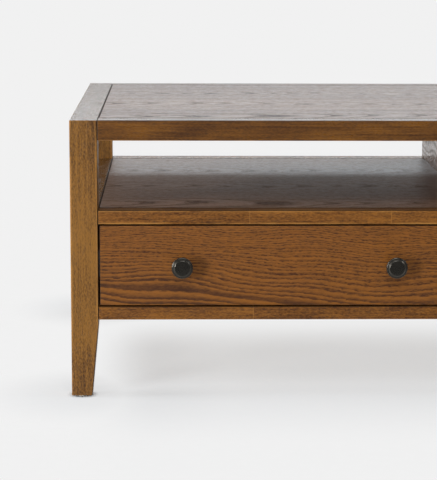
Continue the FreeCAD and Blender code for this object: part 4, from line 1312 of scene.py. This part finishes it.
@dataclass
class Fittings:
    """Runners, screws and glides.

    Attributes:
        sides: the two drawers that the runners carry.
        tolerance: how near two lengths count as the same, in metres.
        drive_step: how much further each screw was driven round than the one before, in radians.
        dome: radius and height of points on a screw head's dome, as shares of the head's own.
        arm: length of the cross recess's arms, as a share of the head's radius.
        arm_half: half the width of those arms, as a share of the head's radius.
        recess: depth of the cross recess, as a share of the head's radius.
        recess_floor: size of the recess at its bottom, as a share of its mouth.
        screw_sides: sides that a screw is turned with.
    """

    sides: tuple[str, ...] = ("left", "right")
    tolerance: float = 0.00002
    drive_step: float = 0.7
    dome: tuple[Pair, ...] = ((1.0, 0.4), (0.95, 0.68), (0.84, 0.9), (0.66, 1.0))
    arm: float = 0.52
    arm_half: float = 0.13
    recess: float = 0.4
    recess_floor: float = 0.6
    screw_sides: int = 32

    def dress_runners(self) -> None:
        """Dresses the telescopic runners and their ball cages."""
        zinc = RUNNER_ZINC.material()
        dress("runner_outer_members", zinc)
        for side in self.sides:
            for part in ("runner_middle", "runner_inner", "outer_ball_cages", "inner_ball_cages"):
                dress(f"{side}_{part}", zinc)

    def build_screws(self) -> None:
        """Makes every screw again with a domed head and a cross recess, where the CAD one stands."""
        zinc = SCREW_ZINC.material()
        bodies = {"bottom_board_screws": "carcass", "runner_case_screws": "carcass"}
        for side in self.sides:
            for part in ("drawer_front_screws", "drawer_knob_screws", "runner_drawer_screws"):
                bodies[f"{side}_{part}"] = f"{side}_drawer"
        for node, body in bodies.items():
            screws = [self._place_screw(points, number) for number, points in enumerate(solids_of(node))]
            piece = new_piece(node.replace("_screws", "_cross_screws"), gather(screws), zinc)
            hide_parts(node)
            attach(piece, body)

    def _place_screw(self, points: list[Vector], number: int) -> bmesh.types.BMesh:
        """Makes one screw in the place of a CAD screw.

        Args:
            points: corners of the CAD screw.
            number: its place in the row, which sets how far it was driven round.

        Returns:
            The screw's shape, in place.
        """
        low, high = box_of(points)
        middle = (low + high) / 2
        spans = high - low
        axis = max(range(3), key=lambda one: spans[one])
        outwards = Vector([1.0 if one == axis else 0.0 for one in range(3)])
        radii = [((point - middle).cross(outwards).length, point[axis]) for point in points]
        low_radius = max(radius for radius, level in radii if level - low[axis] < self.tolerance)
        high_radius = max(radius for radius, level in radii if high[axis] - level < self.tolerance)
        head, shank = max(low_radius, high_radius), min(low_radius, high_radius)
        head_levels = [level for radius, level in radii if head - radius < self.tolerance]
        height = max(head_levels) - min(head_levels)
        screw = self._turn_screw(head, shank, height, spans[axis] - height)
        outer_level = high[axis]
        if low_radius > high_radius:
            outwards.negate()
            outer_level = low[axis]
        seat = middle.copy()
        seat[axis] = outer_level
        seat -= outwards * height
        turn = Vector((0, 0, 1)).rotation_difference(outwards).to_matrix().to_4x4()
        driven = Matrix.Rotation(self.drive_step * number, 4, "Z")
        bmesh.ops.transform(screw, matrix=Matrix.Translation(seat) @ turn @ driven, verts=screw.verts)
        return screw

    def _turn_screw(self, head: float, shank: float, height: float, length: float) -> bmesh.types.BMesh:
        """Turns a screw with its head upwards and cuts the cross into it.

        Args:
            head: radius of the head.
            shank: radius of the shank.
            height: height of the head.
            length: length of the shank under the head.

        Returns:
            The closed shape, with the underside of the head at the origin.
        """
        profile = [(0.0, -length), (shank, -length), (shank, 0.0), (head, 0.0)]
        profile += [(head * wide, height * high) for wide, high in self.dome]
        screw = turned(profile, self.screw_sides)
        rim = [edge for edge in screw.edges if edge.is_boundary]
        arm, half = head * self.arm, head * self.arm_half
        corners = [(arm, -half), (arm, half), (half, half)]
        outline = [Matrix.Rotation(quarter * math.pi / 2, 2) @ Vector(corner)
                   for quarter in range(4) for corner in corners]
        mouth = screw.faces.new([screw.verts.new((point.x, point.y, height)) for point in outline])
        bmesh.ops.triangle_fill(screw, edges=rim + list(mouth.edges), use_beauty=True, use_dissolve=False)
        sunk, = bmesh.ops.extrude_discrete_faces(screw, faces=[mouth])["faces"]
        bmesh.ops.translate(screw, vec=(0.0, 0.0, -head * self.recess), verts=sunk.verts)
        bmesh.ops.scale(screw, vec=(self.recess_floor, self.recess_floor, 1.0), verts=sunk.verts)
        bmesh.ops.recalc_face_normals(screw, faces=screw.faces)
        smooth(screw)
        return screw

    def dress_glides(self) -> None:
        """Dresses the glides under the posts."""
        dress("foot_glides", GLIDE_NYLON.material())


@dataclass(frozen=True)
class Lamp:
    """A soft lamp that the camera doesn't see.

    Attributes:
        name: the lamp's name.
        place: where it hangs, in metres.
        aim: point that it faces.
        size: its width and height, in metres.
        power: power in watts.
        tint: colour of its light.
    """

    name: str
    place: Triple
    aim: Triple
    size: Pair
    power: float
    tint: Triple = (1.0, 1.0, 1.0)

    def hang(self) -> None:
        """Hangs the lamp in the scene."""
        data = bpy.data.lights.new(self.name, "AREA")
        data.shape = "RECTANGLE"
        data.size, data.size_y = self.size
        data.energy = self.power
        data.color = self.tint
        lamp = bpy.data.objects.new(self.name, data)
        lamp.visible_camera = False
        lamp.location = self.place
        lamp.rotation_euler = (Vector(self.aim) - Vector(self.place)).to_track_quat("-Z", "Y").to_euler()
        bpy.context.collection.objects.link(lamp)


# The key lamp stands low at the front left and a cool strip hangs behind; the others are broad and soft.
LAMPS = (
    Lamp("key_lamp", (-5.2, -4.6, 0.85), (-0.2, -0.3, 0.25), (1.5, 1.5), 266.0),
    Lamp("front_lamp", (-0.4, -2.4, 2.3), (0.0, -0.2, 0.3), (1.2, 1.2), 27.0),
    Lamp("back_lamp", (-0.3, 2.6, 1.38), (-0.3, 0.2, 0.4), (2.6, 0.25), 13.5, (0.84, 0.93, 1.0)),
    Lamp("left_lamp", (-3.0, -0.3, 1.25), (-0.4, 0.0, 0.3), (0.7, 0.7), 24.0),
    Lamp("right_lamp", (3.2, -0.6, 2.7), (0.3, -0.2, 0.3), (0.7, 1.3), 22.0),
    Lamp("rear_lamp", (3.9, 3.9, 3.0), (0.2, 0.3, 0.25), (3.4, 3.4), 95.0),
)


@dataclass
class Studio:
    """Camera, floor, light and background.

    Attributes:
        background: colour of the backdrop, and of the floor far from the table.
        floor_paint: colour of the floor under the table.
        camera_place: place of the camera in metres.
        heading: turn of the camera about the upright, in radians.
        tilt: turn of the camera down from the level, in radians.
        roll: turn of the picture about its middle, in radians.
        lens: focal length in millimetres on the sensor's long side.
        sensor: that long side in millimetres.
        floor_radius: radius of the floor in metres.
        floor_sides: sides of the round floor.
        paint_pitch: size of the cloudiness in the floor's paint, in metres.
        paint_change: strength of that cloudiness.
        shadow_middle: middle of the shadow that shows on the floor, in metres.
        shadow_reach: how far that shadow reaches along and across the table, in metres.
        shadow_share: how much of the floor's shading shows in its middle.
        shadow_ends: how much of it shows towards the table's ends.
        shadow_rest: what part of it is left at its front and back edges.
        shadow_deepens: shares of the reach along between which the middle passes into the ends.
        shadow_closes: shares of the reach along between which the shadow fades out.
        shadow_thins: shares of the reach across between which it passes into its rest.
        shadow_leaves: shares of the reach across between which that rest fades out.
        foot_shadow: distances from a foot between which its own shadow fades out, in metres.
        foot_contact: distances from a foot between which the floor's full shading fades out, in metres.
        fill: light that the room gives from all sides.
        front_glow: how bright the room before the table looks in reflections.
        back_glow: how bright the backdrop looks in reflections.
        room_turn: how far backwards a reflection looks where the room passes into the backdrop.
        floor_turn: depths, in metres from the middle, between which the floor brightens in reflections.
    """

    background: Colour = field(default_factory=lambda: stain(241, 241, 241))
    floor_paint: Colour = field(default_factory=lambda: stain(241, 247, 253))
    camera_place: Triple = (-0.51477, -3.13842, 0.75600)
    heading: float = math.radians(-1.465)
    tilt: float = math.radians(-9.972)
    roll: float = math.radians(0.230)
    lens: float = 130.36
    sensor: float = 36.0
    floor_radius: float = 40.0
    floor_sides: int = 128
    paint_pitch: Triple = (0.02, 0.02, 0.02)
    paint_change: float = 0.01
    shadow_middle: Pair = (0.0, -0.175)
    shadow_reach: Pair = (0.68, 0.46)
    shadow_share: float = 0.31
    shadow_ends: float = 0.41
    shadow_rest: float = 0.07
    shadow_deepens: Pair = (0.6, 0.8)
    shadow_closes: Pair = (0.8, 1.0)
    shadow_thins: Pair = (0.3, 1.0)
    shadow_leaves: Pair = (1.0, 1.8)
    foot_shadow: Pair = (0.02, 0.2)
    foot_contact: Pair = (0.012, 0.036)
    fill: float = 0.18
    front_glow: float = 0.18
    back_glow: float = 0.7
    room_turn: Pair = (-0.35, 0.05)
    floor_turn: Pair = (-1.1, -0.1)

    def set_camera(self) -> None:
        """Sets the camera where the photograph was taken."""
        data = bpy.data.cameras.new("camera")
        data.sensor_fit = "VERTICAL"
        data.sensor_width = self.sensor
        data.sensor_height = self.sensor
        data.lens = self.lens
        camera = bpy.data.objects.new("camera", data)
        camera.matrix_world = (Matrix.Translation(self.camera_place)
                               @ Matrix.Rotation(self.heading, 4, "Z")
                               @ Matrix.Rotation(math.pi / 2 + self.tilt, 4, "X")
                               @ Matrix.Rotation(self.roll, 4, "Z"))
        bpy.context.collection.objects.link(camera)
        bpy.context.scene.camera = camera

    def seen(self, shading: Shading) -> tuple[Signal, Signal]:
        """Tells which rays show the background.

        Args:
            shading: tree to work in.

        Returns:
            Whether the camera looks, and whether a reflection or a look through glass does.
        """
        path = shading.node("ShaderNodeLightPath")
        mirrored = shading.highest(shading.output(path, "Is Glossy Ray"),
                                   shading.output(path, "Is Transmission Ray"))
        return shading.output(path, "Is Camera Ray"), mirrored

    def set_world(self) -> None:
        """Sets the backdrop and the fill light; the room before the table is dim in reflections."""
        world = bpy.data.worlds.new("studio")
        world.use_nodes = True
        shading = Shading(world.node_tree)
        backdrop = world.node_tree.nodes["Background"]
        looked_at, mirrored = self.seen(shading)
        way = shading.output(shading.node("ShaderNodeTexCoord"), "Generated")
        _, backwards, _ = shading.parts(way)
        glow = shading.remap(backwards, *self.room_turn, self.front_glow, self.back_glow)
        indirect = mirrored * glow + (1.0 - mirrored) * self.fill
        shading.wire(backdrop.inputs["Color"], self.background)
        shading.wire(backdrop.inputs["Strength"], looked_at + (1.0 - looked_at) * indirect)
        bpy.context.scene.world = world

    def lay_floor(self) -> None:
        """Lays a pale floor that keeps the table's shadow and fades into the backdrop."""
        mesh = bmesh.new()
        bmesh.ops.create_circle(mesh, cap_ends=True, radius=self.floor_radius, segments=self.floor_sides)
        material, shading, unused = new_material("studio_floor")
        shading.tree.nodes.remove(unused)
        looked_at, mirrored = self.seen(shading)
        spot = shading.spot()
        _, backwards, _ = shading.parts(spot)
        paint = shading.noise(spot, self.paint_pitch, 3.0) * self.paint_change + 1.0
        glow = shading.remap(backwards, *self.floor_turn, self.front_glow, 1.0)
        brightness = (mirrored * glow + (1.0 - mirrored)) * paint
        plain = shading.node("ShaderNodeEmission", {"Color": self.background, "Strength": brightness})
        lit = shading.node("ShaderNodeBsdfDiffuse", {"Color": self.floor_paint})
        near = shading.highest(self.under_table(shading, spot), self.near_feet(shading, spot))
        shown = shading.highest(looked_at, mirrored)
        share = (1.0 - shown) + shown * near
        surface = shading.node("ShaderNodeMixShader", {
            0: share, 1: shading.output(plain), 2: shading.output(lit)})
        shading.wire(shading.tree.nodes["Material Output"].inputs["Surface"], shading.output(surface))
        new_piece("studio_floor", mesh, material)

    def under_table(self, shading: Shading, spot: Signal) -> Signal:
        """Tells where on the floor the table's broad shadow lies.

        Args:
            shading: the floor's tree.
            spot: place on the floor.

        Returns:
            Share of the floor's shading that shows there.
        """
        along, depth, _ = shading.parts(spot)
        reach_along, reach_across = self.shadow_reach
        beside = shading.math("ABSOLUTE", along - self.shadow_middle[0]) / reach_along
        before = shading.math("ABSOLUTE", depth - self.shadow_middle[1]) / reach_across
        return (shading.remap(beside, *self.shadow_deepens, self.shadow_share, self.shadow_ends)
                * shading.fall(beside, *self.shadow_closes)
                * shading.remap(before, *self.shadow_thins, 1.0, self.shadow_rest)
                * shading.fall(before, *self.shadow_leaves))

    def near_feet(self, shading: Shading, spot: Signal) -> Signal:
        """Tells where on the floor a foot stands close by.

        Args:
            shading: the floor's tree.
            spot: place on the floor.

        Returns:
            Share of the floor's shading that shows there.
        """
        mounts = frame["record"]["mounts"]
        feet = [Vector(mount["pos_m"]) for mount in mounts if mount["name"].startswith("foot_")]
        middle = sum(feet, Vector()) / len(feet)
        corner = feet[0] - middle
        along, across, _ = shading.parts(spot)
        gap_along = shading.math("ABSOLUTE", along - middle.x) - abs(corner.x)
        gap_across = shading.math("ABSOLUTE", across - middle.y) - abs(corner.y)
        gap = shading.math("SQRT", gap_along * gap_along + gap_across * gap_across)
        shadow = shading.remap(gap, *self.foot_shadow, self.shadow_share, 0.0)
        return shading.highest(shadow, shading.fall(gap, *self.foot_contact))

    def light(self) -> None:
        """Hangs every lamp."""
        for lamp in LAMPS:
            lamp.hang()


def main() -> None:
    """Builds the table's looks and its studio."""
    logging.basicConfig(level=logging.INFO, format="%(name)s: %(message)s")
    bpy.context.scene.view_settings.view_transform = "Standard"
    effects = Effects()
    ends = EndFrames(effects)
    ends.dress_posts()
    ends.dress_rails()
    ends.dress_panels()
    case = Case(effects)
    case.dress_panels()
    case.dress_rails()
    bronze = KNOB_BRONZE.material()
    for side in ("left", "right"):
        drawer = Drawer(effects, side, bronze)
        drawer.dress_front()
        drawer.dress_box()
        drawer.build_knobs()
    fittings = Fittings()
    fittings.dress_runners()
    fittings.build_screws()
    fittings.dress_glides()
    studio = Studio()
    studio.set_camera()
    studio.set_world()
    studio.lay_floor()
    studio.light()


if __name__ == "__main__":
    main()
